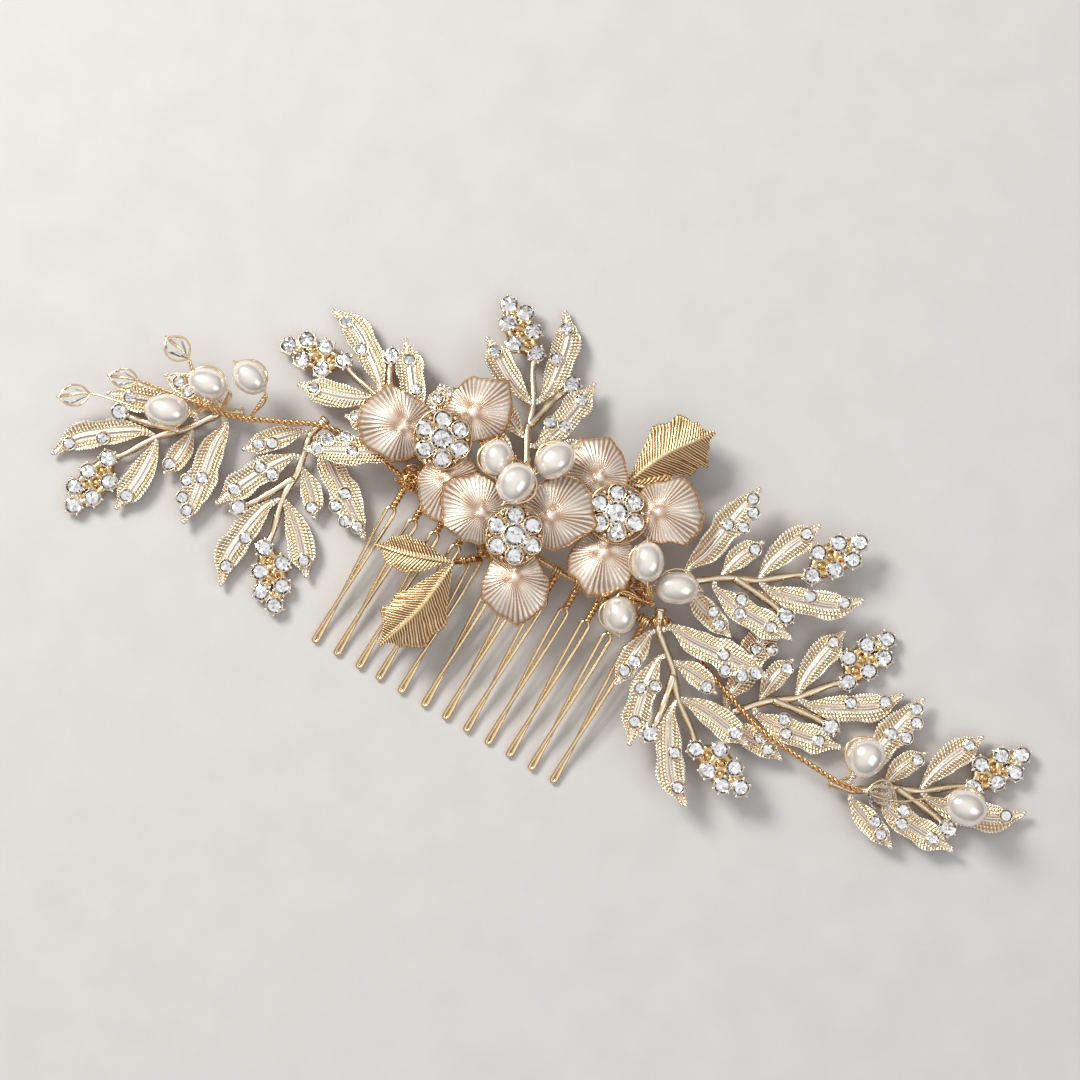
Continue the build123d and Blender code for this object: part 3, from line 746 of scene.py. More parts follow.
def turned(place, heading=0.0, pitch=0.0, roll=0.0):
    """A place and three turns, in degrees about Z, then Y, then X."""
    return (Matrix.Translation(place) @ Matrix.Rotation(radians(heading), 4, "Z")
            @ Matrix.Rotation(radians(pitch), 4, "Y") @ Matrix.Rotation(radians(roll), 4, "X"))


def in_plan(points, height):
    return [(x, y, height) for x, y in points]


# %% Casting and stones of one spray
def bone_end(start, towards):
    """The knob and knuckles at the stem's end, which the binding wire holds."""
    along = (Vector(towards) - Vector(start)).normalized()
    profile = [(0.0, 0.05), (0.12, 0.62), (0.3, 0.98), (0.55, 1.08), (0.85, 0.98), (1.1, 0.66), (1.35, 0.5),
               (1.7, 0.62), (2.1, 0.78), (2.5, 0.62), (2.9, 0.5), (3.3, 0.66), (3.7, 0.62), (4.2, 0.4)]
    path = [Vector(start) + along * (place - 0.55) for place, _ in profile]
    return tube(path, [radius for _, radius in profile], 14)


def leaves_and_stems(random):
    parts = []
    for points, width, lobe, lift in LEAVES.values():
        midrib = smooth_path(in_plan(points, 0.0), 10)
        length = sum((b - a).length for a, b in zip(midrib, midrib[1:]))
        style = dict(CAST_LEAF, lobe=lobe, arch=0.5 * lift, curl=0.55 * lift, lobes=length / LOBE_LENGTH)
        parts.append(leaf(midrib, width, style, random))
        tip = midrib[-1] + Vector((0, 0, 0.55 * lift))
        parts.append(ball(tip, 0.5, 10))
    for points in STEMS:
        path = smooth_path(in_plan(points, 0.05), 8)
        radii = [0.78 - 0.2 * k / len(path) + 0.07 * sin(k * 0.9) for k in range(len(path))]
        parts.append(tube(path, radii, 12))
    return parts


def berry_metal():
    """The gold between the berries: a web from seat to seat and a fillet in each corner."""
    parts = []
    for a, b in BERRY_WEBS:
        start, end = (Vector((*BERRY_STONES[k], 0.1)) for k in (a, b))
        web = tube([start, start.lerp(end, 0.5), end], [1.15, 0.85, 1.15], 10)
        # painted shade between the berries: the webs get half the tube's relief and the fillets a low one, so
        # the gold between the stones reads darker
        parts.append((web[0], web[1], [0.5 * value for value in web[2]], web[3]))
    for x, y in BERRY_FILLETS:
        fillet = ball((x, y, -0.05), 0.95, 12)
        parts.append((fillet[0], fillet[1], [0.22] * len(fillet[0]), fillet[3]))
    return parts


def spray_casting(random):
    parts = leaves_and_stems(random) + berry_metal()
    parts.append(bone_end((-15.3, 5.6, 0), (-12.3, 3.4, 0)))
    for x, y in LEAF_STONES:
        parts.append(moved(seat(LEAF_STONE, LEAF_SEAT_HEIGHT), Matrix.Translation((x, y, -0.1))))
    for x, y in BERRY_STONES:
        cup = seat(BERRY_STONE, BERRY_SEAT_HEIGHT, BERRY_WALL)
        parts.append(moved(cup, Matrix.Translation((x, y, -0.35))))
        parts.append(ball((x + 0.3, y - 0.2, 0.0), BERRY_STONE * 0.64, 12))
        for k in range(PRONGS):
            angle = tau * (k + random.random() * 0.3) / PRONGS
            reach = BERRY_STONE + 0.22
            top = (x + reach * cos(angle), y + reach * sin(angle), 0.55 + 0.2 * random.random())
            parts.append(ball(top, PRONG_RADIUS, 7))
    return together(parts)


def spray_stones(random):
    parts = []
    for places, radius in ((LEAF_STONES, LEAF_STONE), (BERRY_STONES, BERRY_STONE)):
        for x, y in places:
            heading, pitch, roll = random.random() * 360, random.random() * 8 - 4, random.random() * 8 - 4
            tilt = turned((x, y, SEAT_FLOOR), heading, pitch, roll)
            parts.append(moved(brilliant(radius, 0.62 * radius, random), tilt))
    return parts


def facets(name, parts):
    """A mesh of cut stones: flat facets, each with a value of its own."""
    points, faces, values = [], [], []
    for part in parts:
        first = len(points)
        points += part[0]
        faces += [tuple(first + k for k in face) for face in part[1]]
        values += part[2]
    mesh = bpy.data.meshes.new(name)
    mesh.from_pydata([tuple(p) for p in points], [], faces)
    layer = mesh.attributes.new("relief", "FLOAT", "FACE")
    layer.data.foreach_set("value", values)
    mesh.update()
    return link(name, mesh)


def place_piece(obj, material, body, slot, *nodes):
    """The finish, the frame's place, the body and the CAD nodes of a finished piece."""
    obj.data.transform(FRAME)
    obj.data.update()
    if material is not None:
        obj.data.materials.clear()
        obj.data.materials.append(material)
    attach(obj, body)
    if nodes:
        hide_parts(*nodes)
    return obj


def piece(name, part, material, body, slot, *nodes):
    return place_piece(mesh_object(name, part), material, body, slot, *nodes)


casting = spray_casting(random_module.Random(11))
for number, (name, (place, heading, pitch, roll, body)) in enumerate(SPRAYS.items()):
    matrix = turned(place, heading, pitch, roll)
    piece(f"spray_{name}_casting", moved(casting, matrix), PALE_CASTING, body, "pale_gold_casting",
          f"leaf_spray_{name}")
    stones = [moved(part, matrix) for part in spray_stones(random_module.Random(40 + number))]
    place_piece(facets(f"spray_{name}_stones", stones), RHINESTONE, body, "rhinestone",
                f"spray_stones_{name}")
print("casting points", len(casting[0]), "faces", len(casting[1]))

# %% [markdown]
# ## Flowers
#
# Each petal is stamped brass under pearl enamel: fine ridges fan out from one raised point,
# and the thin edge waves up and down.  The grid is polar round that point, so ridges and
# edge follow it exactly.

# %% Petals
FLOWERS = {
    "left": ((-26.0, 9.4, 10.5), {-170: 1.1, 72: 1.0, -50.5: 1.06}, 0, 0),
    "middle": ((-5.7, 0.7, 13.7), {175.5: 1.04, 59.5: 1.12, -59.5: 1.04}, 0, 0),
    "right": ((8.1, 13.8, 10.8), {146.5: 1.0, 32.5: 1.06, -78.5: 1.02}, 5, 165),
}
PETAL_OUTLINE = [(0, 7.9), (25, 7.5), (50, 6.9), (75, 5.9), (100, 5.3), (125, 5.1), (150, 4.7), (180, 4.4)]
PETAL_POINT = 7.3
DOME_RADIUS, DOME_MIDDLE, DOME_DROP = 11.0, 9.4, 9.84
RIDGES, PETAL_THICKNESS = 46, 0.36
PETAL_AROUND, PETAL_RINGS = 312, 16


def petal(size, random):
    left = [radius * size * (1 + 0.1 * (random.random() - 0.5)) for _, radius in PETAL_OUTLINE]
    right = [radius * size * (1 + 0.1 * (random.random() - 0.5)) for _, radius in PETAL_OUTLINE]
    angles = [angle for angle, _ in PETAL_OUTLINE]
    corners = [0, 40 + 14 * random.random(), -40 - 14 * random.random(), 84 + 10 * random.random()]
    phases = [random.random() * tau for _ in range(3)]
    points, relief, gold = [], [], []
    for ring in range(PETAL_RINGS + 1):
        share = (ring / PETAL_RINGS) ** 0.9
        for j in range(PETAL_AROUND):
            angle = 360 * j / PETAL_AROUND - 180
            reach = float(np.interp(abs(angle), angles, left if angle > 0 else right))
            for corner in corners:
                reach *= 1 + 0.05 * exp(-((angle - corner) / 7) ** 2)
            broad = 0.03 * sin(radians(angle) * 5 + phases[0])
            reach *= 1 + broad + 0.015 * sin(radians(angle) * 11 + phases[1])
            turn = radians(angle) + 0.06 * share * sin(radians(angle) * 2 + phases[1])
            r = share * reach
            x, y = PETAL_POINT + r * cos(turn), r * sin(turn)
            dome = (DOME_RADIUS**2 - min(90.0, (x - DOME_MIDDLE) ** 2 + y * y)) ** 0.5 - DOME_DROP
            wave = 0.72 * sin(3 * turn + phases[1]) + 0.42 * sin(5 * turn + phases[2])
            depth = 0.75 + 0.25 * sin(5 * turn + phases[0])
            crest = 1 - depth * abs(sin(turn * RIDGES / 2 + 0.9 * sin(2 * turn + phases[2]))) ** 1.6
            rise = smoothstep(0.04, 0.35, share) * (1 - smoothstep(0.92, 0.97, share))
            rim = smoothstep(0.925, 0.975, share)
            boss = exp(-((r / 0.9) ** 2))
            midline = exp(-((y / 0.35) ** 2)) * smoothstep(0.0, 0.3, share)
            z = dome + wave * share**2.2 + 0.3 * crest * rise + 0.5 * boss + 0.18 * rim + 0.12 * midline
            points.append((x, y, z))
            # painted highlight and painted shade: relief is high on the ridge crests and the raised point and
            # low in the grooves
            relief.append(min(1.0, 0.12 + 0.88 * max(crest * rise, boss, 0.5 * (1 - rise))))
            gold.append(1.0 - rim)
    upper = len(points)
    for ring in range(PETAL_RINGS + 1):
        for j in range(PETAL_AROUND):
            x, y, z = points[ring * PETAL_AROUND + j]
            points.append((x, y, z - PETAL_THICKNESS))
    faces = []
    for ring in range(PETAL_RINGS):
        for j in range(PETAL_AROUND):
            a, b = ring * PETAL_AROUND + j, ring * PETAL_AROUND + (j + 1) % PETAL_AROUND
            c, d = a + PETAL_AROUND, b + PETAL_AROUND
            faces.append((a, c, d, b))
            faces.append((a + upper, b + upper, d + upper, c + upper))
    edge = PETAL_RINGS * PETAL_AROUND
    for j in range(PETAL_AROUND):
        a, b = edge + j, edge + (j + 1) % PETAL_AROUND
        faces.append((a, a + upper, b + upper, b))
    return welded(shape(points, faces, relief + [0.1] * upper, gold + [0.0] * upper), upper)


def welded(part, upper):
    """The innermost ring of both sides closed to single points."""
    points, faces, relief, gold = part

    def stands_for(k):
        start = upper if k >= upper else 0
        return start if k < start + PETAL_AROUND else k

    keep = [k for k in range(len(points)) if stands_for(k) == k]
    index = {k: place for place, k in enumerate(keep)}
    clean = [tuple(dict.fromkeys(index[stands_for(k)] for k in face)) for face in faces]
    return [points[k] for k in keep], clean, [relief[k] for k in keep], [gold[k] for k in keep]


# %% [markdown]
# The cluster in each flower's heart is a gold plate with seven cups, and a loop of thin wire
# lies round it.

# %% Flower hearts
RING_CIRCLE, RING_STONE, HEART_STONE = 3.65, 1.58, 2.05


def heart_places():
    ring = [(RING_CIRCLE * cos(tau * k / 6), RING_CIRCLE * sin(tau * k / 6), RING_STONE) for k in range(6)]
    return [(0.0, 0.0, HEART_STONE)] + ring


def flower_heart(random):
    plate = [(0, 0), (3.6, 0), (4.1, 0.15), (4.1, 0.4), (3.7, 0.55), (0, 0.6)]
    # painted shade: the plate under the cups gets a low relief, so it reads dark orange between them
    parts = [lathe(plate, 36, [0.0, 0.05, 0.2, 0.1, 0.0, 0.0])]
    for x, y, radius in heart_places():
        parts.append(moved(seat(radius, 1.25, 0.16), Matrix.Translation((x, y, 0.25))))
    for k in range(6):
        angle = tau * (k + 0.5) / 6
        parts.append(ball((2.35 * cos(angle), 2.35 * sin(angle), 0.9), 0.36, 8))
        parts.append(ball((4.5 * cos(angle), 4.5 * sin(angle), 0.55), 0.42, 8))
    return together(parts)


flower_random = random_module.Random(5)
flower_facets = []
for name, (place, petal_sizes, tilt, towards) in FLOWERS.items():
    matrix = turned(place, towards, tilt) @ Matrix.Rotation(radians(-towards), 4, "Z")
    petals = [moved(petal(size, flower_random), Matrix.Rotation(radians(direction), 4, "Z"))
              for direction, size in petal_sizes.items()]
    disc = lathe([(0, 0), (4.6, 0.02), (4.8, 0.2), (4.6, 0.42), (0, 0.44)], 32)
    piece(f"petals_{name}", moved(together(petals + [disc]), matrix), CHAMPAGNE_ENAMEL, "comb",
          "champagne_enamel", f"flower_petals_{name}")
    heart = matrix @ Matrix.Translation((0, 0, 0.45))
    piece(f"heart_{name}", moved(flower_heart(flower_random), heart), PALE_CASTING, "comb",
          "pale_gold_casting", f"flower_setting_{name}")
    for x, y, radius in heart_places():
        spin = turned((x, y, 0.95), flower_random.random() * 360, flower_random.random() * 6 - 3)
        flower_facets.append(moved(brilliant(radius, 0.6 * radius, flower_random), heart @ spin))
place_piece(facets("heart_stones", flower_facets), RHINESTONE, "comb", "rhinestone", "flower_stones")
print("petal objects", len(FLOWERS))

# %% [markdown]
# ## Stamped gold leaves
#
# Thin brass leaves with close oblique veins, a toothed edge and a cupped section.

# %% Gold leaf pairs
def stamped_outline(u):
    return 0.08 + 0.92 * smoothstep(0.0, 0.38, u) * (1 - smoothstep(0.5, 1.0, u)) ** 0.8


STAMPED_LEAF = dict(CAST_LEAF, outline=stamped_outline, pitch=0.58, sweep=0.7, panel=0.02, bead=0.12,
                    waver=0.22, relief=0.22, midrib=0.34, midrib_height=0.3, enamel=0.0, thickness=0.3,
                    tooth=0.05, columns=20, curl=0.2, lobe=0.09, lobes=4.2, arch=0.9, cup=-0.045)
GOLD_PAIRS = {
    "lower": (7.6, [(-9, -5.2), (-13.2, -8.4)],
              [([(-13.2, -8.4), (-20.4, -11.2), (-27.1, -12.8)], 6.2),
               ([(-13.2, -8.4), (-14.0, -18.6), (-17.1, -28.2)], 10.0)]),
    "upper": (6.6, [(3.4, 15.6), (6.4, 19.9)],
              [([(6.4, 19.9), (10.2, 28.4), (15.7, 36.2)], 10.4),
               ([(6.4, 19.9), (12.8, 21.8), (19.4, 21.9)], 6.0)]),
}
gold_random = random_module.Random(21)
for name, (height, stem, leaves) in GOLD_PAIRS.items():
    parts = [tube(in_plan(stem, height), [0.5, 0.5], 10)]
    for points, width in leaves:
        parts.append(leaf(smooth_path(in_plan(points, height), 10), width, STAMPED_LEAF, gold_random))
    piece(f"stamped_leaves_{name}", together(parts), STAMPED_GOLD, "comb", "gold_stamping",
          f"gold_leaf_pair_{name}")

# %% [markdown]
# ## Pearls and clear beads
#
# A pearl is turned about its drill hole, then pushed in and out a little so that no two are
# alike.  The clear beads are cut: flat facets round a drop.

# %% Beads
# centre, heading in degrees, length, thickness
PEARLS = {
    "pearl_01": ((-72.2, -11.1, 8.6), 205, 8.1, 6.0), "pearl_02": ((-68.3, -3.2, 9.2), 190, 7.3, 5.6),
    "pearl_03": ((-62.3, 1.7, 8.7), 165, 7.1, 5.7), "pearl_04": ((-15.6, 11.2, 13.5), 120, 6.9, 6.2),
    "pearl_05": ((-6.3, 16.1, 14.8), 65, 7.9, 6.4), "pearl_06": ((-10.2, 8.7, 17.6), 270, 7.8, 6.7),
    "pearl_07": ((17.2, 8.8, 13.8), 120, 7.4, 6.1), "pearl_08": ((24.1, 7.7, 10.8), 25, 8.1, 6.0),
    "pearl_09": ((17.6, -1.7, 9.9), -60, 6.8, 6.3), "pearl_10": ((68.7, -1.3, 9.2), 80, 7.4, 7.0),
    "pearl_11": ((88.7, 0.1, 8.8), 10, 7.8, 6.5),
}
CRYSTALS = {
    "crystal_drop_1": ((-88.4, -17.2, 7.0), 215, 5.1, 3.1),
    "crystal_drop_2": ((-82.1, -10.0, 7.6), 200, 4.9, 2.7),
    "crystal_drop_3": ((-76.6, -0.3, 7.6), 165, 4.9, 3.6),
    "crystal_round": ((74.6, -5.9, 8.2), 15, 5.0, 5.0),
}


def pearl(length, thickness, seed):
    """A baroque pearl along X with a dimple at each end of its drill hole."""
    steps, sides = 30, 40
    half = length / 2
    profile = [(0.0, -half + 0.45)]
    for k in range(1, steps):
        angle = pi * k / steps
        profile.append((thickness / 2 * sin(angle) ** 0.92, -half * cos(angle)))
    profile.append((0.0, half - 0.45))
    points, faces, relief, enamel = lathe(profile, sides)
    shifted = []
    for p in points:
        lump = noise.noise(Vector(p) * 0.28 + Vector((seed * 7.3, 0, 0)))
        fine = noise.noise(Vector(p) * 0.8 + Vector((0, seed * 3.1, 0)))
        shifted.append(Vector(p) * (0.985 + 0.05 * lump + 0.008 * fine))
    return moved((shifted, faces, relief, enamel), Matrix.Rotation(radians(90), 4, "Y"))


def cut_drop(length, thickness, sides=8):
    """A faceted drop along X, thick end at +X."""
    half, radius = length / 2, thickness / 2
    profile = [(0, -half), (0.18, -half), (radius * 0.55, -half * 0.45), (radius * 0.92, half * 0.1),
               (radius, half * 0.4), (radius * 0.72, half * 0.78), (0.3, half), (0, half)]
    return moved(lathe(profile, sides), Matrix.Rotation(radians(90), 4, "Y"))


def cut_round(length):
    radius = length / 2
    profile = [(0, -radius), (0.5, -radius * 0.96), (radius * 0.72, -radius * 0.66), (radius, -radius * 0.2),
               (radius, radius * 0.2), (radius * 0.72, radius * 0.66), (0.5, radius * 0.96), (0, radius)]
    return moved(lathe(profile, 10), Matrix.Rotation(radians(90), 4, "Y"))


for number, (name, (place, heading, length, thickness)) in enumerate(PEARLS.items()):
    part = moved(pearl(length, thickness, number + 1), turned(place, heading))
    piece(f"{name}_bead", part, PEARL, f"{name}_bead", "pearl", name)
for name, (place, heading, length, thickness) in CRYSTALS.items():
    cut = cut_round(length) if name == "crystal_round" else cut_drop(length, thickness)
    part = moved(cut, turned(place, heading))
    obj = piece(f"{name}_bead", part, CLEAR_GLASS, f"{name}_bead", "clear_crystal", name)
    obj.data.polygons.foreach_set("use_smooth", [False] * len(obj.data.polygons))
print("pearls", len(PEARLS), "crystals", len(CRYSTALS))

# %% [markdown]
# ## The comb
#
# Each tine is a hairpin whose legs cross once low down, a twisted neck, and a few turns round the
# spine.  One tine is made and set twelve times, each leaning a little its own way.

# %% Spine and tines
TINES, TINE_PITCH, TINE_SLOPE = 12, 4.56, 8.2
TINE_TOP, TINE_TIP, TINE_TOP_HALF = -5.6, -34.3, 0.8
SPINE_HALF = TINE_PITCH * (TINES - 1) / 2 + 1.5
SPINE_RADIUS, TINE_WIRE, NECK_WIRE = 0.55, 0.37, 0.36


def helix(radius, length, turns, steps=12):
    """A coil about the X axis, centred on the origin."""
    count = int(turns * steps)
    return [(length * (k / count - 0.5), radius * cos(tau * k / steps), radius * sin(tau * k / steps))
            for k in range(count + 1)]


def hairpin():
    """Down one leg, round the tip and up the other; the legs cross low down and end side by side."""
    steps = 40
    down = []
    for k in range(steps + 1):
        t = k / steps
        y = TINE_TOP - 0.7 + (TINE_TIP - TINE_TOP + 1.6) * t
        apart = (TINE_TOP_HALF - (TINE_TOP_HALF - 0.63) * t) * cos(0.72 * pi * t)
        down.append(Vector((apart, y, 0.45 * sin(pi * t))))
    up = [Vector((-p.x, p.y, -p.z)) for p in reversed(down)]
    low, high = down[-1].y, down[0].y
    near = abs(down[-1].x)
    tip = [Vector((-near * cos(pi * k / 8), low - near * sin(pi * k / 8), 0)) for k in range(1, 8)]
    top = [Vector((-TINE_TOP_HALF * cos(pi * k / 8), high + 1.1 * sin(pi * k / 8), 0)) for k in range(1, 8)]
    return down + tip + up + top


def tine_mesh():
    legs = wire("legs", [hairpin()], TINE_WIRE, closed=True, spacing=0.5)
    neck_path = [(0, TINE_TOP + 0.1, 0), (0, -3.4, 0), (0, -1.1, 0)]
    neck = wire("neck", [neck_path], NECK_WIRE, strands=2, twist=1.7, spacing=0.18, finish=TIE_WIRE_PAINTED_ORANGE)
    turns = wire("turns", [helix(1.12, 1.3, 2.5)], 0.24, spacing=0.3)
    return join("tine", [legs, neck, turns])


tine = tine_mesh()
tine_random = random_module.Random(3)
for index in range(TINES):
    root = (SPINE_MIDDLE.x + TINE_PITCH * (index - (TINES - 1) / 2), 0, SPINE_MIDDLE.z)
    heading, slope = tine_random.uniform(-0.5, 0.5), TINE_SLOPE + tine_random.uniform(-0.25, 0.25)
    lean = turned(root, heading, 0, slope)
    obj = link(f"tine_{index + 1}", tine.data.copy())
    obj.data.transform(lean)
    place_piece(obj, None, "comb", "gold_wire", f"comb_tine_{index + 1:02d}")
bpy.data.objects.remove(tine)

bar = mesh_object("bar", tube([(-SPINE_HALF, 0, 0), (SPINE_HALF, 0, 0)], [SPINE_RADIUS] * 2, 12))
bar.data.materials.append(GOLD_WIRE)
wrap = wire("wrap", [helix(0.64, 2 * SPINE_HALF, 96, 10)], 0.17, spacing=0.3)
spine = join("wrapped_spine", [bar, wrap])
spine.data.transform(Matrix.Translation(SPINE_MIDDLE))
place_piece(spine, None, "comb", "gold_wire", "comb_spine")
print("tines", TINES)

# %% [markdown]
# ## Links and bead wires
#
# Twisted pairs carry the wings and the tips.

# %% Link wires
# name, node, inner and outer body, hinge, way outwards along X, route
LINKS = [
    ("left_link", "left_wing_wire", "comb", "left_wing", (-29.9, 0.6, 4.9), -1,
     [(-28.9, 0.4, 5.2), (-30.6, 0.7, 4.9), (-40.0, 1.8, 4.5), (-47.2, 1.0, 5.0), (-54.4, -2.4, 4.9)]),
    ("right_link", "right_wing_wire", "comb", "right_wing", (25.1, 2.6, 3.4), 1,
     [(22.9, 1.5, 4.7), (25.8, 2.4, 3.4), (34.3, -0.9, 3.5), (45.5, -4.9, 4.3), (51.0, -6.4, 5.2),
      (56.2, -6.9, 5.1)]),
    ("left_tip_stem", None, "left_wing", "left_tip", (-55.1, -2.7, 4.9), -1,
     [(-54.3, -2.35, 4.9), (-55.8, -3.0, 4.9), (-61.6, -5.6, 4.9), (-69.0, -7.0, 4.9)]),
    ("right_tip_stem", None, "right_wing", "right_tip", (56.95, -6.95, 5.1), 1,
     [(56.1, -6.9, 5.1), (57.7, -7.0, 5.1), (66.6, -7.4, 5.1), (70.6, -6.9, 5.6)]),
]
for name, node, first, second, hinge, way, route in LINKS:
    obj = wire(name, [smooth_path(route, 12)], 0.29, strands=2, twist=2.2, spacing=0.22, finish=TIE_WIRE_PAINTED_ORANGE)
    obj.data.transform(FRAME)
    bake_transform(obj)
    if node:
        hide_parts(node)

# %% Bead wires
BEADS = dict(PEARLS, **CRYSTALS)
BOW_ON_RIGHT = ("pearl_02", "pearl_03", "pearl_09")
WITH_END_LOOP = ("pearl_05",)
# body, stem, then the root of each wire and the beads threaded on it
BEAD_WIRES = {
    "left_tip_wires": ("left_tip", [], [
        ((-59.0, -4.4, 4.9), ["pearl_03"]), ((-64.4, -6.1, 4.9), ["pearl_02"]),
        ((-66.6, -6.5, 4.9), ["pearl_01", "crystal_drop_1"]), ((-67.8, -6.8, 4.9), ["crystal_drop_3"]),
        ((-68.8, -7.0, 4.9), ["crystal_drop_2"])]),
    "right_tip_wires": ("right_tip", [], [
        ((66.9, -7.4, 5.1), ["pearl_10"]), ((70.4, -6.9, 5.6), ["crystal_round", "pearl_11"])]),
    "pearl_wires_top": ("comb", [(-10.9, 12.6, 9.3), (-10.8, 12.7, 11.2)], [
        ((-10.9, 12.6, 9.9), ["pearl_04"]), ((-10.85, 12.65, 10.5), ["pearl_05"]),
        ((-10.8, 12.7, 11.1), ["pearl_06"])]),
    "pearl_wires_right": ("comb", [(21.6, 3.2, 6.6), (21.6, 3.3, 9.0)], [
        ((21.6, 3.2, 7.2), ["pearl_09"]), ((21.6, 3.25, 8.0), ["pearl_08"]),
        ((21.6, 3.3, 8.9), ["pearl_07"])]),
}


def bead_ends(bead, beyond=0.75):
    place, heading, length, _ = bead
    along = Vector((cos(radians(heading)), sin(radians(heading)), 0)) * (length / 2 + beyond)
    return Vector(place) - along, Vector(place) + along


def bow(bead, side, random):
    """The wire beside a bead, from one of its ends round to the other."""
    near, far = bead_ends(bead, 0.35)
    _, heading, _, thickness = bead
    across = Vector((-sin(radians(heading)), cos(radians(heading)), 0)) * side
    reach = thickness / 2 + 0.25 + 0.35 * random.random()
    path = [near]
    for share in (0.2, 0.4, 0.6, 0.8):
        point = near.lerp(far, share) + across * reach * sin(pi * share) ** 0.7
        path.append(point + Vector((0, 0, 0.25 * random.random())))
    return smooth_path(path + [far], 6)


def bow_sides(bead_name):
    """A drop has a bow on both sides, a pearl on one."""
    if bead_name.startswith("crystal_drop"):
        return 1, -1
    return (-1,) if bead_name in BOW_ON_RIGHT else (1,)


def end_loop(bead):
    """The small eye that a wire is finished with beyond a bead."""
    near, far = bead_ends(bead, 0.5)
    along = (far - near).normalized()
    centre = far + along * 0.75
    up = Vector((0, 0, 1)).cross(along)
    return [centre + along * 0.7 * -cos(tau * k / 14) + up * 0.7 * sin(tau * k / 14) for k in range(14)]


wire_random = random_module.Random(8)
for name, (body, stem, wires) in BEAD_WIRES.items():
    paths = []
    for root, names in wires:
        route = [Vector(root)]
        for bead_name in names:
            bead = BEADS[bead_name]
            route += list(bead_ends(bead))
            paths += [bow(bead, side, wire_random) for side in bow_sides(bead_name)]
            if bead_name in WITH_END_LOOP:
                paths.append(end_loop(bead) + [end_loop(bead)[0]])
        paths.append(smooth_path(route, 8))
    made = [wire(name, paths, 0.19, spacing=0.3)]
    for root, names in wires:
        near = bead_ends(BEADS[names[0]])[0]
        twisted = [Vector(root), Vector(root).lerp(near, 0.5) + Vector((0, 0, 0.3)), near]
        made.append(wire("twist", [smooth_path(twisted, 8)], 0.18, strands=2, twist=1.5, spacing=0.2,
                         finish=TIE_WIRE_PAINTED_ORANGE))
    if stem:
        made.append(wire("stem", [stem], 0.29, strands=2, twist=2.0, spacing=0.2))
    place_piece(join(f"{name}_made", made), None, body, "gold_wire", name)
print("bead wires", len(BEAD_WIRES))

# %% [markdown]
# Fine wire ties the stems down.  Real turns are never even, so the coil's radius and step
# wander, and loose loops lie round the spray knobs and the flower hearts.

# %% Bindings and loose loops
# centre, direction, radius, turns
BINDINGS = [
    ((-25.8, 0, 5.3), (1, 0, 0), 0.8, 7), ((19.8, 0, 5.3), (1, 0, 0), 0.8, 9),
    ((-27.4, 0.2, 5.2), (1, 0.2, 0), 1.0, 5), ((-11.1, -6.8, 7.6), (-4.2, -3.2, 0), 0.5, 5),
    ((4.9, 17.7, 6.6), (3.0, 4.3, 0), 0.5, 5),
]
# centre, spread, loops
TANGLES = [
    ((18.4, 3.6, 7.0), (4.4, 4.6, 1.6), 34), ((-27.3, 1.4, 7.0), (3.4, 3.6, 1.4), 22),
    ((-8.6, -3.6, 8.0), (4.0, 2.0, 1.2), 14), ((3.2, 14.0, 7.6), (2.4, 3.2, 1.0), 10),
    ((-11.6, 12.2, 9.0), (2.4, 2.4, 1.2), 10),
]


def binding(centre, direction, radius, turns, random):
    steps = 12
    count = turns * steps
    spin = Vector(direction).to_track_quat("X", "Z").to_matrix().to_4x4()
    path = []
    for k in range(count + 1):
        r = radius + 0.3 + 0.14 * random.random()
        x = 0.62 * turns * (k / count - 0.5) + 0.2 * sin(k * 0.37)
        point = Vector((x, r * cos(tau * k / steps), r * sin(tau * k / steps)))
        path.append(Matrix.Translation(centre) @ spin @ point)
    return smooth_path(path, 2)


def loop_round(centre, radius, random, height=0.5):
    """A loose closed loop about a flower heart or a knob."""
    squeeze, turn = 0.86 + 0.14 * random.random(), random.random() * tau
    path = []
    for k in range(28):
        a = tau * k / 28
        x, y = radius * cos(a), radius * squeeze * sin(a)
        path.append(Vector(centre) + Vector((x * cos(turn) - y * sin(turn), x * sin(turn) + y * cos(turn),
                                             height * sin(2 * a + turn))))
    return path + [path[0]]


def tangle(centre, spread, loops, random):
    """A knot of wire ends: small loops thrown round one place."""
    paths = []
    steps = 14
    for _ in range(loops):
        axis = Vector([random.uniform(-limit, limit) for limit in (1, 1, 0.4)]).normalized()
        turn = axis.to_track_quat("Z", "X").to_matrix()
        middle = Vector(centre) + Vector([random.uniform(-0.5, 0.5) * s for s in spread])
        radius = random.uniform(0.7, 1.5)
        start, reach = random.random() * tau, random.uniform(0.6, 1.1) * tau
        path = []
        for k in range(steps + 1):
            angle = start + reach * k / steps
            rise = 0.8 * (k / steps - 0.5)
            path.append(middle + turn @ Vector((radius * cos(angle), radius * sin(angle), rise)))
        paths.append(path)
    return paths


tie_random = random_module.Random(17)
ties = [binding(*plan, tie_random) for plan in BINDINGS]
for plan in TANGLES:
    ties += tangle(*plan, tie_random)
for place, _, _, _ in FLOWERS.values():
    ties.append(loop_round(Vector(place) + Vector((0, 0, 1.15)), 5.55, tie_random, 0.25))
for name in ("right_upper", "right_lower", "left_upper", "top"):
    place, heading, pitch, roll, _ = SPRAYS[name]
    knob = turned(place, heading, pitch, roll) @ Vector((-13.4, 4.3, 0.1))
    ties.append(binding(knob, (1, 0.6, 0.2), 0.55, 4, tie_random))
turns = wire("binding_turns", ties, 0.16, spacing=0.28, finish=TIE_WIRE_PAINTED_ORANGE)
place_piece(turns, None, "comb", "gold_wire", "binding_wire")
print("ties", len(ties))

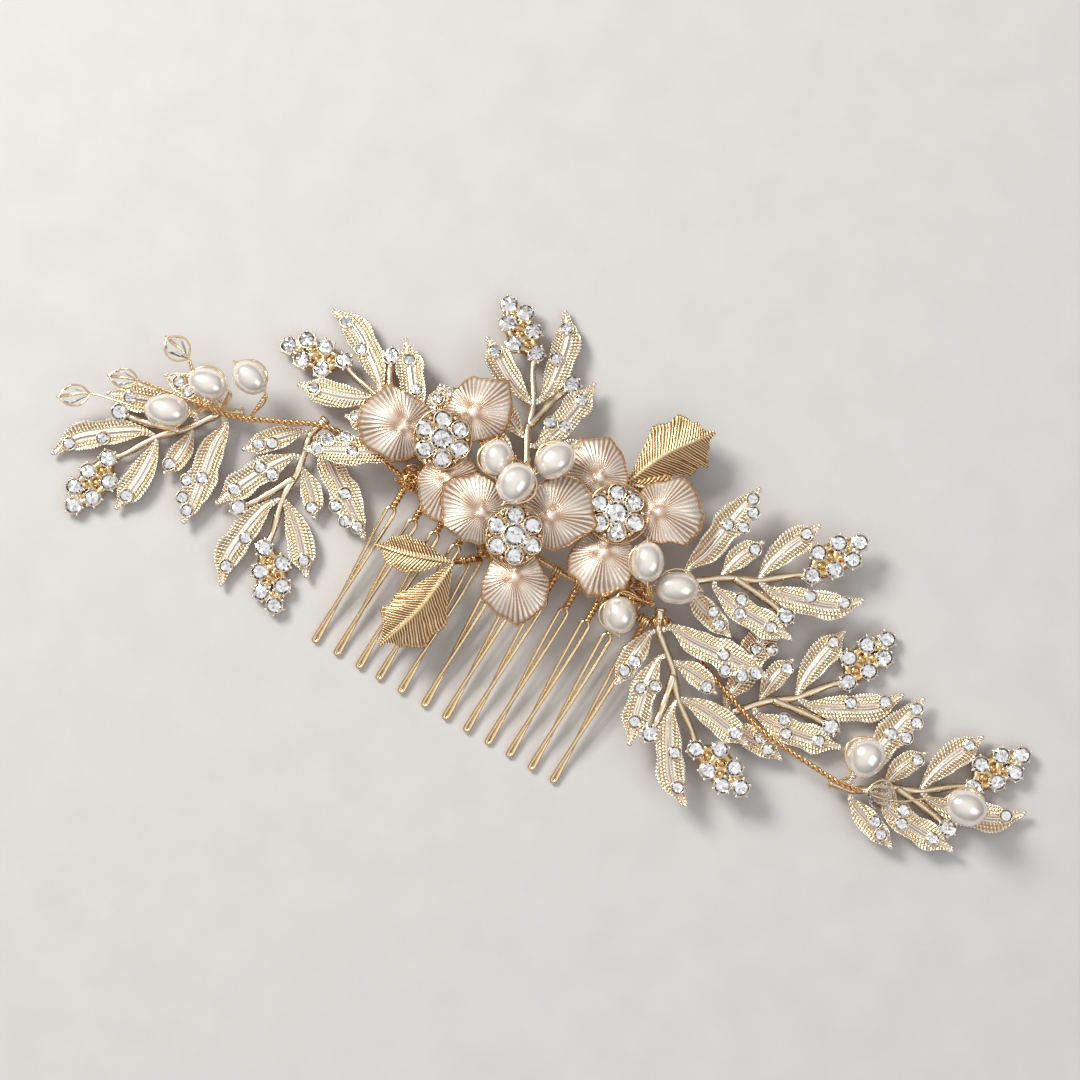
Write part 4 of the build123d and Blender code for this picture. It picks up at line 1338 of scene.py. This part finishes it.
# %% [markdown]
# ## Floor, light and camera
#
# The comb lies on a pale floor, seen from nearly overhead with the wings slanting up to the
# right.  A large soft light stands at the upper left; the world is bright above and dim at
# the horizon, so that facets and polished wire have something dark to reflect.

# %% Floor
def floor_material():
    values = {"Roughness": 0.85, "Specular IOR Level": 0.2}
    material, tree, principled = shader("pale_plaster_floor", values)
    space = add(tree, "ShaderNodeTexCoord").outputs["Object"]
    cloud = add(tree, "ShaderNodeTexNoise",
                values={"Scale": 1.0 / (9.0 * MM), "Detail": 6.0},
                links={"Vector": space}).outputs["Fac"]
    tint = add(tree, "ShaderNodeMix", {"data_type": "RGBA"},
               {6: colour("#CDCCCB"), 7: colour("#D9D8D7")}, {0: cloud})
    tree.links.new(tint.outputs[2], principled.inputs["Base Color"])
    pitted = add(tree, "ShaderNodeBump", values={"Strength": 0.35, "Distance": 0.4 * MM},
                 links={"Height": cloud})
    tree.links.new(pitted.outputs["Normal"], principled.inputs["Normal"])
    return material


FLOOR_HALF, FLOOR_LEVEL = 1.5, -0.0002
floor_mesh = bpy.data.meshes.new("floor")
floor_corners = [(x * FLOOR_HALF, y * FLOOR_HALF, FLOOR_LEVEL) for x, y in ((-1, -1), (1, -1), (1, 1), (-1, 1))]
floor_mesh.from_pydata(floor_corners, [], [(0, 1, 2, 3)])
floor = link("floor", floor_mesh)
floor.data.materials.append(floor_material())

# %% Camera and lights
IMAGE_RIGHT = Vector((0.8616, 0.5075, 0))
IMAGE_UP = Vector((-0.5075, 0.8616, 0))
TARGET = Vector((-5.57, -0.02, 6.0)) * MM
ELEVATION, DISTANCE, LENS = 84.0, 0.6, 110.0
back = (Vector((0, 0, 1)) * sin(radians(ELEVATION)) - IMAGE_UP * cos(radians(ELEVATION))).normalized()


def facing(right, towards_viewer, position):
    up = towards_viewer.cross(right).normalized()
    turn = Matrix((right, up, towards_viewer)).transposed()
    return Matrix.Translation(position) @ turn.to_4x4()


camera_data = bpy.data.cameras.new("camera")
camera_data.lens = LENS
camera_data.sensor_width = 36.0
camera = link("camera", camera_data)
camera.matrix_world = facing(IMAGE_RIGHT.normalized(), back, TARGET + back * DISTANCE)
bpy.context.scene.camera = camera


def area_light(name, across, up, height, size, power, hex_code):
    """A square soft light, placed by its offset across and up the picture, aimed at the comb."""
    data = bpy.data.lights.new(name, "AREA")
    data.size = size
    data.energy = power
    data.color = colour(hex_code)[:3]
    light = link(name, data)
    position = IMAGE_RIGHT * across + IMAGE_UP * up + Vector((0, 0, height))
    aim = position.to_track_quat("Z", "Y").to_matrix().to_4x4()
    light.matrix_world = Matrix.Translation(position) @ aim
    return light


area_light("window", -0.42, 0.4, 0.55, 0.28, 5.1, "#FFFBF5")
area_light("fill", 0.5, -0.35, 0.6, 0.5, 0.9, "#F2F5FF")


def studio_world():
    world = bpy.data.worlds.new("studio")
    bpy.context.scene.world = world
    world.use_nodes = True
    tree = world.node_tree
    tree.nodes.clear()
    coordinate = add(tree, "ShaderNodeTexCoord")
    height = add(tree, "ShaderNodeSeparateXYZ", links={"Vector": coordinate.outputs["Generated"]})
    ramp = add(tree, "ShaderNodeValToRGB", links={"Fac": height.outputs["Z"]})
    ramp.color_ramp.elements[0].color = colour("#4E463F")
    ramp.color_ramp.elements[1].color = colour("#FFFFFF")
    middle = ramp.color_ramp.elements.new(0.5)
    middle.color = colour("#A6A3A1")
    background = add(tree, "ShaderNodeBackground", values={"Strength": 0.85},
                     links={"Color": ramp.outputs["Color"]})
    add(tree, "ShaderNodeOutputWorld", links={"Surface": background.outputs["Background"]})


studio_world()
scene = bpy.context.scene
scene.view_settings.view_transform = "Standard"
scene.view_settings.look = "None"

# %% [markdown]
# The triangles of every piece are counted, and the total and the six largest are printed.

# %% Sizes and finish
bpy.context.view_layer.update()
triangles = {obj.name: sum(len(p.vertices) - 2 for p in obj.data.polygons)
             for obj in bpy.data.objects if obj.type == "MESH" and not obj.hide_render}
print("triangles", sum(triangles.values()), sorted(triangles.items(), key=lambda item: -item[1])[:6])
